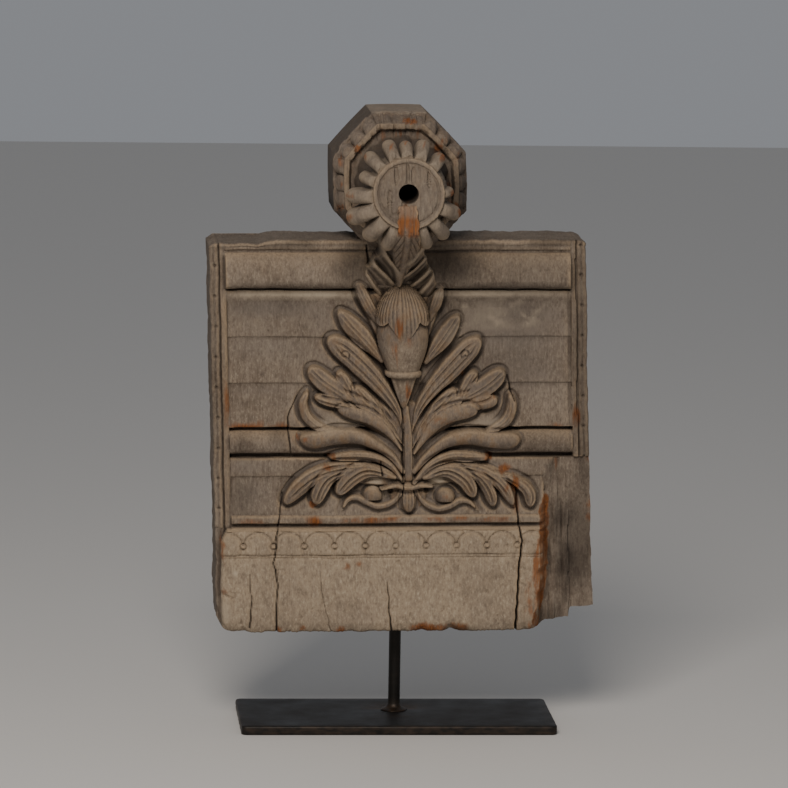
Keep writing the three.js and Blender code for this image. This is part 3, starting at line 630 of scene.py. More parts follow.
# Edge wear: the rim and arrises are rubbed round and chipped
rim_chip = np.interp(across, [-185, -180, -172, -160, -146, -136, -129, -122, -116, 160, 180, 189, 194],
                     [7.0, 4.2, 3.6, 4.0, 3.4, 4.8, 2.6, 1.0, 0.2, 0.2, 0.5, 1.5, 4.0])
rim_chip = rim_chip + 0.5 * waver(across, 9, 41) + 0.3 * waver(across, 3, 42)
foot_rise = np.interp(across, [-185, -180, -176, -168, -158, -150, 141, 143, 147.5, 149, 172, 173.5, 194],
                      [16, 6, 2.5, 0.6, 2.4, 0, 0.5, 3, 7.5, 8.5, 11.5, 21, 22.5])
foot_rise = foot_rise + 0.6 * waver(across, 7, 43) + 0.35 * waver(across, 2, 44)
foot_rise += 2.6 * bell(across - 52, 5) + 2.0 * bell(across - 22, 4)
foot_fade, rim_fade = 46, 387
left_wear = 0.7 * waver(up, 24, 45) + 0.4 * waver(up, 5, 46) - 0.7
right_wear = 0.6 * waver(up, 24, 47) + 0.4 * waver(up, 5, 48) - 0.6
right_wear += np.interp(up, [0, 25, 110, 200, 397], [4.6, 4.4, 2.6, 0.4, 0])
for inward in (across - block_left, block_right - across, block_height - up, (up - foot_rise) * 0.8):
    deep -= 1.5 * np.exp(-np.clip(inward, 0, None)) * sound

# The square carving grid is moved onto the block's worn and chipped outline
share = (across - block_left) / (block_right - block_left)
placed_across = across - left_wear * (1 - ease(share, 0, 0.06)) + right_wear * ease(share, 0.93, 1.0)
placed_up = up + foot_rise * (1 - ease(up, 0, foot_fade)) - rim_chip * ease(up, rim_fade, block_height)
front = np.stack([placed_across, deep, placed_up], -1)
tall, wide = across.shape


def grid_of(rows, columns, first=0):
    """Point numbers round a grid's rim, anticlockwise from its lower left corner, and its faces."""
    index = first + np.arange(rows * columns).reshape(rows, columns)
    quads = np.stack([index[:-1, :-1], index[:-1, 1:], index[1:, 1:], index[1:, :-1]], -1)
    rim = np.concatenate([index[0, :-1], index[:-1, -1], index[-1, :0:-1], index[:0:-1, 0]])
    return rim, quads.reshape(-1, 4)


def band(one, two):
    """Faces that join two loops of point numbers."""
    return np.stack([one, two, np.roll(two, -1), np.roll(one, -1)], -1).tolist()


# Sides, ends and back close the block; the back keeps the saw's shallow ridges. Checks run up both,
# as (place, from, to)
middle_across, middle_up = 4.5, 198.0
side_from, end_from = 183, 165
side_checks = ((14, 60, 260), (-12, 150, 397), (-27, 0, 190), (2, 250, 340))
back_checks = ((-96, 120, 397), (61, 0, 170), (128, 210, 397), (-20, 0, 90))
points = [front.reshape(-1, 3)]
rim, quads = grid_of(tall, wide)
faces = quads.tolist()
rim_points = front.reshape(-1, 3)[rim]
count = len(rim)
start = tall * wide
previous = rim
side_steps = 22
for step in range(1, side_steps + 1):
    share = step / side_steps
    ring = rim_points.copy()
    back_here = block_back + 0.8 * ease(share, 0.9, 1.0)
    ring[:, 1] = rim_points[:, 1] * (1 - share) + back_here * share
    from_middle, above_middle = ring[:, 0] - middle_across, ring[:, 2] - middle_up
    side_out = np.sign(from_middle) * (abs(from_middle) > side_from)
    end_out = np.sign(above_middle) * (abs(above_middle) > end_from)
    run = np.where(side_out != 0, ring[:, 2], ring[:, 0])
    grain = 0.45 * patches(ring[:, 1], run, 3.0, 40, 51) + 0.5 * patches(ring[:, 1], run, 20, 60, 52)
    checks = np.zeros(count)
    for check_deep, low, high in side_checks:
        line = check_deep + 2.0 * waver(run, 34, 53 + check_deep % 7)
        opened = bell(ring[:, 1] - line, 1.9) * ease(run, low, low + 30)
        checks += opened * (1 - ease(run, high - 40, high))
    checks *= abs(side_out)
    push = grain * ease(share, 0, 0.15) - 1.6 * ease(share, 0.94, 1.0) - 1.8 * checks
    ring[:, 0] += side_out * push
    ring[:, 2] += end_out * push
    here = start + np.arange(count)
    faces.extend(band(previous, here))
    points.append(ring)
    previous, start = here, start + count
coarse = 4
inner_up, inner_across = np.meshgrid(up_lines[::coarse], across_lines[::coarse], indexing="ij")
shrink = 0.985
back_across = middle_across + (inner_across - middle_across) * shrink
back_up = middle_up + (inner_up - middle_up) * shrink
lifted = np.interp(inner_across, across_lines, foot_rise[0]) * (1 - ease(inner_up, 0, foot_fade))
back_up = back_up + lifted
saw = 0.3 * np.sin(inner_up / 2.6 + 2 * patches(inner_across, inner_up, 80, 200, 61))
back_deep = block_back + 0.3 + saw * ease(patches(inner_across, inner_up, 60, 80, 62), -0.4, 0.5)
for check_across, low, high in back_checks:
    line = check_across + 3 * waver(inner_up, 50, 63)
    opened = ease(inner_up, low, low + 40) * (1 - ease(inner_up, high - 40, high + 1) * (high < 390))
    back_deep = back_deep + 2.2 * bell(inner_across - line, 2.6) * opened
points.append(np.stack([back_across, back_deep, back_up], -1).reshape(-1, 3))
inner_rim, quads = grid_of(*inner_up.shape, start)
faces.extend(quads[:, ::-1].tolist())
for n, (one, two) in enumerate(zip(inner_rim, np.roll(inner_rim, -1))):
    fine = [previous[(n * coarse + k) % count] for k in range(coarse + 1)]
    faces.append([int(v) for v in fine[::-1]] + [int(one), int(two)])
points = np.concatenate(points)
block = piece("carved_block", set_in_place(*points.T), faces)

# What the years did to the face, and painted light, kept as numbers per point for the timber's material:
# hollows hold pale dust over old dirt and painted shade, ridges are rubbed and carry a painted highlight,
# tips are broken to raw wood, damp left it black, and painted shadow and shade darken it in places


def blurred(height, cells):
    """The height averaged over a square of cells, by running sums."""
    for turn in range(2):
        padded = np.pad(height, ((cells, cells + 1), (0, 0)), mode="edge")
        total = np.cumsum(padded, axis=0)
        height = ((total[2 * cells + 1:] - total[:-2 * cells - 1]) / (2 * cells + 1)).T
    return height


def stains(x, y, spots):
    """Soft blots as (across, up, half width, half height, strength)."""
    found = np.zeros_like(x)
    for spot_across, spot_up, half_wide, half_tall, strength in spots:
        near = ((x - spot_across) / half_wide) ** 2 + ((y - spot_up) / half_tall) ** 2
        found = np.maximum(found, strength * np.exp(-near ** 1.5))
    return found


def below(height, cells, drop, most):
    """How far the surface lies below what is round it, in parts of `drop` mm, from 0 to `most`."""
    return np.clip((blurred(height, cells) - height) / drop, 0, most)


cells = max(2, round(4.5 / carving_pitch))
# Narrow cuts: dirt with painted shade.
hollow = below(deep, max(1, cells // 2), 2.2, 1)
# Crests: rubbed wear with a painted highlight.
ridge = below(-deep, max(1, cells // 2), 1.3, 1) * sound
# Wide hollows: painted shade.
wide_hollow = np.clip((blurred(deep, 2 * cells) - deep - 2) / 7, 0, 1.2)
low_ground = (1 - on_leaf) * ease(blurred(on_leaf, 3 * cells), 0.12, 0.5)
low_ground = np.maximum(low_ground, stains(across, up, [
    (-125, 328, 50, 9, .8), (-70, 316, 26, 18, .5), (112, 310, 60, 34, .9), (120, 262, 50, 22, .7),
    (-130, 290, 40, 10, .4), (-140, 246, 34, 5, .4),
    (-150, 136, 26, 18, .5), (-150, 168, 26, 8, .5)]))
raw = stains(across, up, [
    (-84, 113, 7, 5, 1.2), (-145, 113, 16, 3, .7), (-35, 113, 26, 4, .6), (-24, 114, 4, 3, 1.0),
    (-6, 114, 8, 3, .8), (34, 114, 24, 3.5, .5), (62, 115, 7, 3, .9), (96, 114, 18, 3, .6),
    (93, 177, 5, 5, .9), (-72, 168, 9, 4, .5), (108, 165, 6, 5, .9), (-122, 2, 3, 4, .9),
    (-60, 2, 5, 4, .9), (28, 3, 22, 5, 1.0), (60, 3, 10, 6, .7), (-52, 67, 3, 4, .7), (-98, 4, 8, 3, .5),
    (120, 130, 3, 14, .5), (-178, 90, 3, 16, .6), (-176, 42, 5, 3, .7), (132, 30, 8, 24, .35),
    (119, 150, 4, 9, .9), (112, 145, 5, 8, .5), (-85, 129, 4, 4, .8), (-97, 198, 9, 5, .5),
    (-65, 178, 6, 4, .5), (182, 219, 4, 10, 1.0), (181, 256, 3, 10, .3), (-170, 232, 3, 17, .7),
    (-150, 209, 20, 2.4, .8), (-118, 209, 12, 2, .6), (160, 209, 12, 2.2, .4), (3, 312, 5, 10, .7),
    (14, 300, 5, 8, .4), (12, 246, 4, 9, .7), (-2, 285, 7, 8, .4), (-100, 262, 2, 8, .3),
    (48, 137, 4, 4, .35), (-26, 139, 4, 4, .25), (66, 263, 5, 4, .4), (96, 240, 7, 4, .35),
    (45, 214, 10, 4, .35), (-40, 70, 4, 3, .5),
])
raw = np.maximum(raw, 1.1 * raw_edge * (0.7 + 0.4 * uneven(5, 16, 71)))
raw = np.maximum(raw, 0.7 * ease(uneven(2.2, 60, 76), 0.1, 0.6) * ease(across, 122, 140)
                 * sound * (up < 95))
raw = np.maximum(raw, 0.45 * is_broken * ease(uneven(7, 30, 72), 0.15, 0.8) * (up > 110))
torn_fibres = 0.3 * uneven(1.7, 7, 79) + 0.2 * uneven(4.5, 6, 80)
raw = np.sqrt(np.clip(raw, 0, 1)) * ease(raw + torn_fibres, 0.22, 0.6)
# Dark marks: soot, damp and old stains, and with them painted shadow and shade. The painted ones are the
# pendant's shadow on the upper roll either side of the neck and along its right part, the shadow right of
# the bud, the shade along the upper roll's curled-under lower edge and in the groove under the lower
# roll, and a wide darkening of the upper fields, stronger on the right, for the lamp's light falling off.
# The upper roll is also darker along its top edge.
dark = stains(across, up, [
    (60, 372, 34, 24, .75), (-40, 372, 24, 22, .7), (180, 86, 17, 42, 1.1), (172, 62, 14, 26, .9),
    (166, 108, 14, 24, .8), (60, 1, 18, 5, .7), (24, 0, 20, 4, .4), (189, 180, 8, 60, .5),
    (-70, 382, 110, 6, .15), (110, 382, 80, 6, .35), (-177, 260, 8, 140, .3), (-80, 352, 90, 4, .4),
    (110, 352, 80, 5, .6), (186, 280, 10, 130, .55), (-155, 192, 14, 14, .35), (150, 192, 40, 14, .25),
    (-150, 178, 34, 4, .6), (150, 178, 34, 4, .7), (-118, 200, 12, 12, .4), (-158, 140, 16, 24, .3),
    (112, 320, 62, 24, .34), (110, 270, 60, 20, .2), (-120, 320, 62, 24, .2), (-120, 278, 60, 16, .1),
    (-182, 280, 5, 130, .35), (190, 300, 5, 110, .5), (120, 368, 60, 16, .35), (56, 330, 14, 40, .3),
])
dark = dark * (1 - 0.45 * is_broken * ease(uneven(14, 24, 77), -0.2, 0.7))
dark = np.clip(np.maximum(dark, cracked * 1.6), 0, 1)
damp = ease(uneven(9, 36, 73), -0.3, 0.5) * (across < 172)
dark = np.maximum(dark, 0.55 * is_broken * damp)
dark = np.maximum(dark, 0.5 * ease(up, 385, 390) * ease(uneven(30, 9, 74), -0.8, 0.3))
scratches = np.zeros_like(across)
random = np.random.default_rng(78)
for _ in range(24):
    start_across, start_up = random.uniform(52, 150), random.uniform(306, 338)
    heading, reach = random.uniform(-1.3, 1.3), random.uniform(6, 20)
    ahead_by = (across - start_across) * math.cos(heading) + (up - start_up) * math.sin(heading)
    beside_by = (up - start_up) * math.cos(heading) - (across - start_across) * math.sin(heading)
    beside_by = beside_by + (ahead_by - reach / 2) ** 2 * random.uniform(-0.02, 0.02)
    stroke = bell(beside_by, 0.9) * (ahead_by > 0) * (ahead_by < reach)
    scratches = np.maximum(scratches, stroke * random.uniform(0.6, 1.0))
dust = stains(across, up, [
    (-130, 342, 34, 4, .9), (-80, 342, 40, 4, 1.0), (-52, 342, 16, 4, .7), (90, 343, 60, 4, .85),
    (150, 343, 26, 4, .6), (-22, 151, 7, 5, 1.1), (40, 152, 8, 5, .9), (-14, 138, 4, 4, .6),
    (-70, 208, 16, 8, .3), (-60, 212, 24, 6, .35), (88, 212, 24, 6, .35), (90, 322, 26, 12, .35),
    (-176, 20, 6, 12, .5), (-165, 61, 3, 3, 1.0), (100, 310, 40, 5, .3), (60, 300, 12, 12, .25),
])
dust = np.maximum(dust, scratches)
pale = 0.75 * on_dado * sound * (1 - 0.5 * ease(uneven(42, 60, 75), 0, 1))
pale = np.maximum(pale, 0.3 * on_bud * (up < 298))
leaf = np.maximum(on_leaf, on_bud * (up > 298)) * sound
grid_marks = {"hollow": hollow, "ridge": ridge, "deep_hollow": wide_hollow, "raw": raw, "soot_and_shade": dark,
              "pale": pale, "dust": dust, "low_ground": low_ground, "leaf": leaf}
beyond_grid = len(points) - tall * wide
for name, values in grid_marks.items():
    # The sides and back are made a quarter darker all over.
    rest = np.full(beyond_grid, 0.25 if name == "soot_and_shade" else 0.0)
    if name != "soot_and_shade":
        rest[:count * side_steps] = np.tile(values.reshape(-1)[rim], side_steps) * 0.4
    mark(block, name, np.concatenate([values.reshape(-1), rest]))


def lighten(thing, most, crisp=50):
    """Brings a piece under `most` triangles, taking them from where the surface is flat. Edges that
    turn more than `crisp` degrees stay sharp."""
    triangles = sum(len(polygon.vertices) - 2 for polygon in thing.data.polygons)
    if triangles > most:
        thinning = thing.modifiers.new("thinning", "DECIMATE")
        thinning.ratio = most / triangles
        bpy.context.view_layer.update()
        whole = thing.evaluated_get(bpy.context.evaluated_depsgraph_get())
        thinned = bpy.data.meshes.new_from_object(whole)
        thing.modifiers.clear()
        old = thing.data
        thing.data = thinned
        bpy.data.meshes.remove(old)
        thinned.name = thing.name
        thinned.polygons.foreach_set("use_smooth", [True] * len(thinned.polygons))
    thing.data.set_sharp_from_angle(angle=math.radians(crisp))


piece_limit = 190000
lighten(block, piece_limit)

# Teak, hand carved, never varnished, long weathered: dry grey-brown with upright grain and dark pores,
# pale dust on ledges, dirt and painted shade in narrow cuts, painted shade in wide hollows, rubbed crests
# with a painted highlight, soot and damp with painted shadow, orange where broken to raw wood.
# Fibres and pores are drawn about three times as coarse as they are, or they wouldn't show.
teak, tree, shader = new_material("weathered_teak")
fibre, grain, cloud, mottle, pore, speckle = textures(tree, [
    ((1.5, 1.5, 22), 4, 0.6), ((5.5, 5.5, 90), 3, 0.55), ((46, 46, 62), 3, 0.55),
    ((10, 10, 15), 5, 0.65), ((1.3, 1.3, 6), 1, 0.55), ((2.3, 2.3, 4.8), 4, 0.75)])
dry_teak = node(tree, "ShaderNodeRGB").outputs[0]
dry_teak.default_value = hex_colour("#6b5e51")
colour = coats(tree, dry_teak, [
    (None, cloud, 0.36, 0.64, 0, 1, "#837668"),
    (None, mottle, 0.45, 0.7, 0, 0.45, "#8d7f70"),
    (None, mottle, 0.48, 0.3, 0, 0.5, "#5a4b3f"),
    (None, grain, 0.52, 0.7, 0, 0.3, "#5d4e42"),
    (None, fibre, 0.5, 0.72, 0, 0.4, "#968a7b"),
    (None, fibre, 0.45, 0.25, 0, 0.45, "#4d4139"),
    (None, speckle, 0.52, 0.66, 0, 0.5, "#a19583"),
    (None, speckle, 0.46, 0.3, 0, 0.6, "#483c34"),
    (None, pore, 0.62, 0.74, 0, 0.4, "#42362d"),
    ("pale", mottle, 0.28, 0.55, 0.45, 1.0, "#a8967f"),
    ("pale", speckle, 0.48, 0.32, 0, 0.8, "#6b5b4b"),
    ("pale", speckle, 0.54, 0.68, 0, 0.7, "#c2b29b"),
    ("leaf", mottle, 0.55, 0.4, 0, 0.6, "#625850"),
    ("leaf", mottle, 0.46, 0.62, 0.05, 0.7, "#745c44"),
    ("low_ground", mottle, 0.2, 0.7, 0.35, 0.75, "#6d655e"),
    # Crests: rubbed wear with a painted highlight.
    ("ridge", speckle, 0.3, 0.6, 0.3, 0.85, "#a38d72"),
    # Narrow cuts: dirt with painted shade. Wide hollows: painted shade.
    ("hollow", mottle, 0.2, 0.7, 0.64, 0.4, "#3b2f27"),
    ("deep_hollow", cloud, 0.2, 0.7, 0.6, 0.8, "#2c231c"),
    ("dust", mottle, 0.28, 0.5, 0.5, 1.0, "#b3a48f"),
    ("raw", mottle, 0.3, 0.5, 0.4, 1.0, "#6f4222"),
    ("raw", fibre, 0.45, 0.6, 0, 0.6, "#a26431"),
    # Soot and damp, with painted shadow and shade, in one dark coat.
    ("soot_and_shade", grain, 0.25, 0.7, 1.0, 0.75, "#241c17"),
])
tree.links.new(colour, shader.inputs["Base Color"])
dryness = node(tree, "ShaderNodeMapRange", [("Value", mottle)], in_From_Min=0.3, in_From_Max=0.7,
               in_To_Min=0.74, in_To_Max=0.92)
tree.links.new(dryness.outputs[0], shader.inputs["Roughness"])
shader.inputs["IOR"].default_value = 1.5
shader.inputs["Specular IOR Level"].default_value = 0.3
fine_relief = node(tree, "ShaderNodeBump", [("Height", fibre)], in_Strength=0.8, in_Distance=0.0006)
pitted = node(tree, "ShaderNodeBump", [("Height", speckle), ("Normal", fine_relief.outputs[0])],
              in_Strength=0.8, in_Distance=0.0009)
tooled = node(tree, "ShaderNodeBump", [("Height", mottle), ("Normal", pitted.outputs[0])],
              in_Strength=0.5, in_Distance=0.0012)
tree.links.new(tooled.outputs[0], shader.inputs["Normal"])

block.data.materials.append(teak)
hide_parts("bracket")
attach(block, "root")

# The neck: the pendant's stalk leaves the block as sheaths folded over each other in steps, and a
# keel leaf climbs over them to the pendant's rim. Its top is torn away below the hole.
pendant_across, pendant_up = 7.7, 455.0
neck_pitch = 0.6
neck_across = np.arange(-36, 50 + neck_pitch, neck_pitch)
neck_up = np.arange(337, 443 + neck_pitch, neck_pitch)
x, y = np.meshgrid(neck_across, neck_up)
stalk_front = np.interp(y, [337, 346, 365, 384, 400, 424], [44, 50, 63, 80, 94, 108])
left_side = np.interp(y, [337, 345, 352, 362, 373, 374.5, 378, 384, 386, 392, 398, 424],
                      [-16, -20, -26, -30, -30.5, -27, -24, -22, -19, -16, -17, -18])
right_side = np.interp(y, [337, 346, 354, 362, 369, 371, 374, 382, 386, 392, 398, 424],
                       [36, 41, 43.5, 41, 38.5, 36, 34.5, 33, 29, 28, 29, 30])
off_side = np.minimum(x - left_side, right_side - x) + 0.5 * patches(x, y, 7, 9, 81)
inside_stalk = ease(off_side, -0.5, 1.6)

# Keel leaf up the middle, as (up, deep, half width)
keel_foot, keel_limit = 352.5, 157.4
keel = np.array([[352, 64, 2.2], [362, 78, 4.4], [374, 98, 8], [386, 118, 11.4], [392, 127, 13.2],
                 [399, 137, 14], [405, 145, 14.2], [411, 152, 14.2], [415, 156.2, 12.5],
                 [419, 157.6, 11.2], [424, 157.9, 10.6], [438, 157.7, 10.4], [443, 156.2, 10]])
keel_front, keel_half = [np.interp(y, keel[:, 0], keel[:, n], left=0) for n in (1, 2)]
keel_half = keel_half * (1 + 0.05 * waver(y, 5, 82)) * (y > keel_foot)
keel_half += ease(y, 412, 418) * 1.6 * waver(y + 40 * (x > 7), 4.5, 88)
keel_middle = np.interp(y, [352, 375, 400, 425, 443], [3.5, 5.0, 6.6, 6.8, 6.6])
off_keel = x - keel_middle
from_keel = abs(off_keel)

# Sheath edges as (outer end, inner end, how far the sheath steps down on the edge's lower side)
neck = np.minimum(keel_front, 140) - 7 - 1.9 * np.clip(from_keel - keel_half, 0, 99)
neck = np.maximum(stalk_front - 5.0, neck)
sheaths = [
    ((-14.5, 399), (2.0, 368.5), 6.5), ((-22.5, 383.5), (-4.0, 357.5), 6.0),
    ((-31.0, 374.5), (-14.5, 343.5), 4.5), ((21.0, 399), (8.6, 382.0), 3.5),
    ((28.5, 388.0), (10.6, 368.0), 6.0), ((34.0, 374.5), (17.5, 355.0), 5.0),
    ((39.5, 371.5), (26.0, 345.5), 4.5),
]
rib_pitch = 6.4
lips = np.zeros_like(x)
for (u0, v0), (u1, v1), step in sheaths:
    run_x, run_y = u1 - u0, v1 - v0
    length = math.hypot(run_x, run_y)
    above_line = ((x - u0) * run_y - (y - v0) * run_x) / length * (1 if run_x > 0 else -1)
    above_line += 1.2 * np.sin((y - v0) / 6) + 0.6 * patches(x, y, 9, 9, 89)
    along_line = ((x - u0) * run_x + (y - v0) * run_y) / length
    near = ease(along_line, -9, -2) * (1 - ease(along_line, length, length + 10))
    neck += near * step * (ease(above_line, -1.0, 0.6) - 0.55 * ease(above_line, 2.6, 9))
    lip = near * bell(above_line - 2.1, 2.2)
    neck += 1.2 * lip - 1.6 * near * bell(above_line + 2.6, 1.6)
    ribbed = near * ease(above_line, 3, 5) * (1 - ease(above_line, 14, 18))
    ripple = np.cos((above_line - 5.5) * 2 * math.pi / rib_pitch)
    neck -= 0.4 * ribbed * (1 + ripple)
    lips = np.maximum(lips, np.maximum(lip, 0.3 * ribbed * np.clip(-ripple, 0, 1)))
neck -= 10 * np.clip(1 - off_side / 9, 0, 1) ** 2
neck_root, neck_back = 28, 22.0
neck = neck_root + (neck - neck_root) * inside_stalk

# The keel has a midrib, veined halves that fall away from it, and a torn top
torn = ease(y + 2.5 * waver(x, 2.2, 86), 410, 417)
rib = 1.5 * bell(off_keel, 1.5) - 2.4 * bell(from_keel - 3.2, 1.0)
lobed = -4.5 * np.clip(from_keel / np.maximum(keel_half, 1), 0, 1.2) ** 2
veins = 2.4 * bell((from_keel * 1.9 + y) % 10 - 5, 1.2) * ease(from_keel, 2.5, 4) * (y > 366)
splinters = 0.55 * patches(x, y, 1.5, 30, 83) + 0.8 * patches(x, y, 4.5, 11, 84)
splinters -= 1.0 * bell(x - 12.2, 0.7) + 0.8 * bell(x - 3.2, 0.6)
keel_top = keel_front + (rib + lobed - veins) * (1 - torn) + (splinters - 0.6) * torn
keel_top = np.minimum(keel_top, keel_limit)
inside_keel = ease(keel_half - from_keel, -0.4, 1.2)
keel_top = neck_root + (keel_top - neck_root) * inside_keel
neck = np.where(inside_keel > 0, np.maximum(neck, keel_top), neck)
beside_keel = bell(keel_half - from_keel + 1.4, 1.3) * (y > keel_foot) * (y < 414)
neck -= 2.2 * beside_keel * (inside_keel < 0.05) * inside_stalk
neck += 0.22 * patches(x, y, 2.1, 22, 85) + 0.3 * patches(x, y, 7, 9, 87)
neck = np.minimum(neck, keel_limit)

# Walls run back from the patch's edge into the block and the pendant
front_points = np.stack([x, neck, y], -1).reshape(-1, 3)
neck_rim, quads = grid_of(*x.shape)
back_rim = front_points[neck_rim].copy()
back_rim[:, 1] = neck_back
behind = x.size + np.arange(len(neck_rim))
neck_faces = quads.tolist() + band(neck_rim, behind) + [behind[::-1].tolist()]
neck_points = np.concatenate([front_points, back_rim])
stalk_piece = piece("neck_leaves", set_in_place(*neck_points.T), neck_faces)
padding = np.zeros(len(neck_rim))
off_leaf = inside_keel < 0.3
# Painted shade in the folds between the sheaths and on the walls either side of the stalk; narrow hollows
# get dirt with painted shade, and the sheath lips rubbed wear with a painted highlight.
riser = below(neck, round(3 / neck_pitch), 3, 1) * off_leaf
in_folds = np.clip(0.42 * (1 - 1.3 * lips) * (y < 400) + 0.8 * riser, 0, 1)
neck_marks = {
    "hollow": below(neck, round(5 / neck_pitch), 4, 1.3) * 0.5,
    "low_ground": 0.4 * (1 - lips) * off_leaf,
    "ridge": np.maximum(below(-neck, round(1.4 / neck_pitch), 1.1, 1.2), 0.9 * lips * off_leaf),
    "deep_hollow": in_folds * (inside_keel < 0.5),
    "raw": 0.95 * torn * inside_keel * ease(splinters, -1.8, 0.6) * (1 - 0.75 * ease(y, 428, 436)),
    "soot_and_shade": 0.5 * (1 - inside_stalk) * (inside_keel < 0.2),
    "dust": 0.5 * lips,
    "leaf": np.full(x.shape, 0.5)}
for name, values in neck_marks.items():
    mark(stalk_piece, name, np.concatenate([values.reshape(-1), padding]))
lighten(stalk_piece, 90000)
stalk_piece.data.materials.append(teak)
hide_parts("bracket")
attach(stalk_piece, "root")

# The lotus pendant: an eight-sided block a little taller than wide, with lappets cut on its bevel,
# a fillet, and a hollow round the flower. Petals curl out below a flat end that has a ring and a
# peg hole; one is gone, and the tongue of the keel leaf takes the place of another.
octagon_flat, rim_front, octagon_tall = 67.5, 40.0, 1.052
fillet_flat, fillet_back = 57.5, 59
flower_radius, end_radius, disc_front = 33.8, 35.3, 156.0
around = 512
angle = np.linspace(0, 2 * math.pi, around, endpoint=False)
facet_angle = (angle + math.pi / 8) % (math.pi / 4) - math.pi / 8
to_octagon = 1 / np.cos(facet_angle)
facet = np.round(angle / (math.pi / 4)).astype(int) % 8


def octagon(flat, soft=0.0):
    """Radius all round of an eight-sided ring, `flat` out to its sides, its corners rounded a little."""
    return flat * (to_octagon - (to_octagon - 1) * (0.12 + soft))


# Rings run from the back to the peg hole as (radius, deep), each one number or one for each direction
rings = [(octagon(flat), block_back) for flat in (20, 50, octagon_flat - 6, octagon_flat - 1.5)]
rings.append((octagon(octagon_flat - 0.3), block_back + 1.4))
rings += [(octagon(octagon_flat), level) for level in np.linspace(block_back + 4, rim_front - 2.5, 18)]
rings.append((octagon(octagon_flat - 0.2, .05), rim_front - 1))
rings.append((octagon(octagon_flat - 0.9, .08), rim_front))

# Lappets, three to a side, as proud as wear has left them from the right-hand side round
kept = np.array([0.6, 1.0, 0.3, 0.75, 0.45, 0.25, 0.3, 0.5])[facet]
kept = kept + 0.6 * (facet == 4) * (facet_angle < -0.12)
flat_share = np.tan(facet_angle) / math.tan(math.pi / 8)
local = (flat_share * 1.5 * 1.02 + 1.5) % 1.0 * 2 - 1
for share in np.linspace(0.02, 1.0, 23):
    flat = octagon_flat - 1.0 - (octagon_flat - 1.0 - fillet_flat) * share
    lip = 0.05 + 0.30 * abs(local) ** 2.2
    swell = (1 - abs(local) ** 2.4) ** 0.6 * ease(np.full(around, share), lip, lip + 0.20)
    swell = swell * (1 - 0.8 * ease(share, 0.78, 1.0)) * kept
    hollow_cut = 3.4 * (1 - swell) * ease(share, 0, 0.15) * (1 - ease(share, 0.8, 1.0))
    hollow_cut = hollow_cut * np.clip(kept, 0.3, 1)
    radius, deep_here = octagon(flat, .08), rim_front + 0.4 + (fillet_back - rim_front - 0.4) * share
    lift = 5.4 * swell - hollow_cut
    lift -= 1.3 * (facet == 2) * ease(waver(radius * np.cos(angle), 2.2, 96), -0.2, 0.4)
    rings.append((radius + lift * 0.72, deep_here + lift * 0.6))
eroded = (facet >= 1) & (facet <= 3)
for flat, level in ((57.4, 59.6), (57.9, 60.4), (57.9, 61.8), (57.4, 62.7), (56.6, 63.0), (54.6, 63.1),
                    (53.0, 62.8), (52.2, 61.8), (51.8, 60), (51.3, 57.5), (50.3, 56)):
    radius = octagon(flat, .1)
    grain_loss = ease(patches(radius * np.cos(angle), radius * np.sin(angle), 3.2, 11, 95), -0.3, 0.7)
    rings.append((radius, level - (2.4 * eroded + 0.5) * grain_loss))
octagon_rings = len(rings)

# The bell behind the flower, with a second row of petals lying back against the hollow
low_petals = 0.5 + 0.5 * np.cos(angle * 16 + 0.9)
low_swell = np.sqrt(low_petals) * (1 - 0.6 * ease(abs(np.sin(angle / 2 - 0.3)), 0.2, 0.8))
for base, level, proud in ((49, 55.4, .2), (48, 57, .8), (47, 61, 1), (45.6, 66, 1), (43.6, 72, 1),
                           (41.4, 79, 1), (39.2, 86, .9), (37.4, 93, .7), (35.8, 101, .4),
                           (34.6, 108, .1), (flower_radius, 114, 0)):
    rings.append((base - 3 * proud + 4.5 * proud * low_swell, level))

# Petals are round-ended tabs, as (degrees round, reach, half width, how deep the tip's back lies),
# each as broken or worn as it is now
petals = [
    (0, 46.5, 5.0, 127), (45, 52, 6.4, 124), (70, 54.5, 7.0, 126), (91, 51, 6.6, 130),
    (111, 54.5, 7.2, 126), (137, 55, 7.0, 122), (161, 50, 6.4, 128), (185, 60.5, 7.8, 124),
    (206, 66.5, 8.6, 123), (229, 64, 8.4, 124), (249, 63, 7.0, 124), (290, 61, 6.4, 125),
    (310, 61.5, 7.6, 124), (335, 58.5, 7.6, 124),
]
petal_root = 40.0
reach, petal_back = np.full(around, petal_root), np.full(around, 127.0)
petal_swell, petal_half, petal_turn = np.zeros(around), np.full(around, 6.0), np.zeros(around)
for degrees, length, half, tip_deep in petals:
    turn = (angle - math.radians(degrees) + math.pi) % (2 * math.pi) - math.pi
    off = np.abs(np.sin(turn)) + 1e-6
    end_centre = length - half
    round_end = end_centre * np.cos(turn) + np.sqrt(np.clip(half ** 2 - (end_centre * off) ** 2, 0, None))
    outline = np.where(np.abs(np.tan(turn)) < half / end_centre, round_end, half / off)
    outline = np.clip(np.where(abs(turn) < 0.6, outline, 0), petal_root, None)
    wins = outline > reach + 1e-6
    reach = np.where(wins, outline, reach)
    petal_back = np.where(wins, tip_deep, petal_back)
    petal_half, petal_turn = np.where(wins, half, petal_half), np.where(wins, turn, petal_turn)
    toward_tip = np.clip((outline - petal_root) / (length - petal_root), 0, 1) ** 0.4
    petal_swell = np.where(wins, toward_tip, petal_swell)
for share in np.linspace(0.12, 0.95, 7):
    rings.append((flower_radius + (reach - flower_radius) * share,
                  petal_back - 5.5 + 1.5 * share + 3.0 * share ** 6))
for out, rise in ((0.2, 1.0), (0.0, 3.0), (0.2, 5.0), (1.0, 7.0)):
    rings.append((reach - out * petal_swell, petal_back + rise))
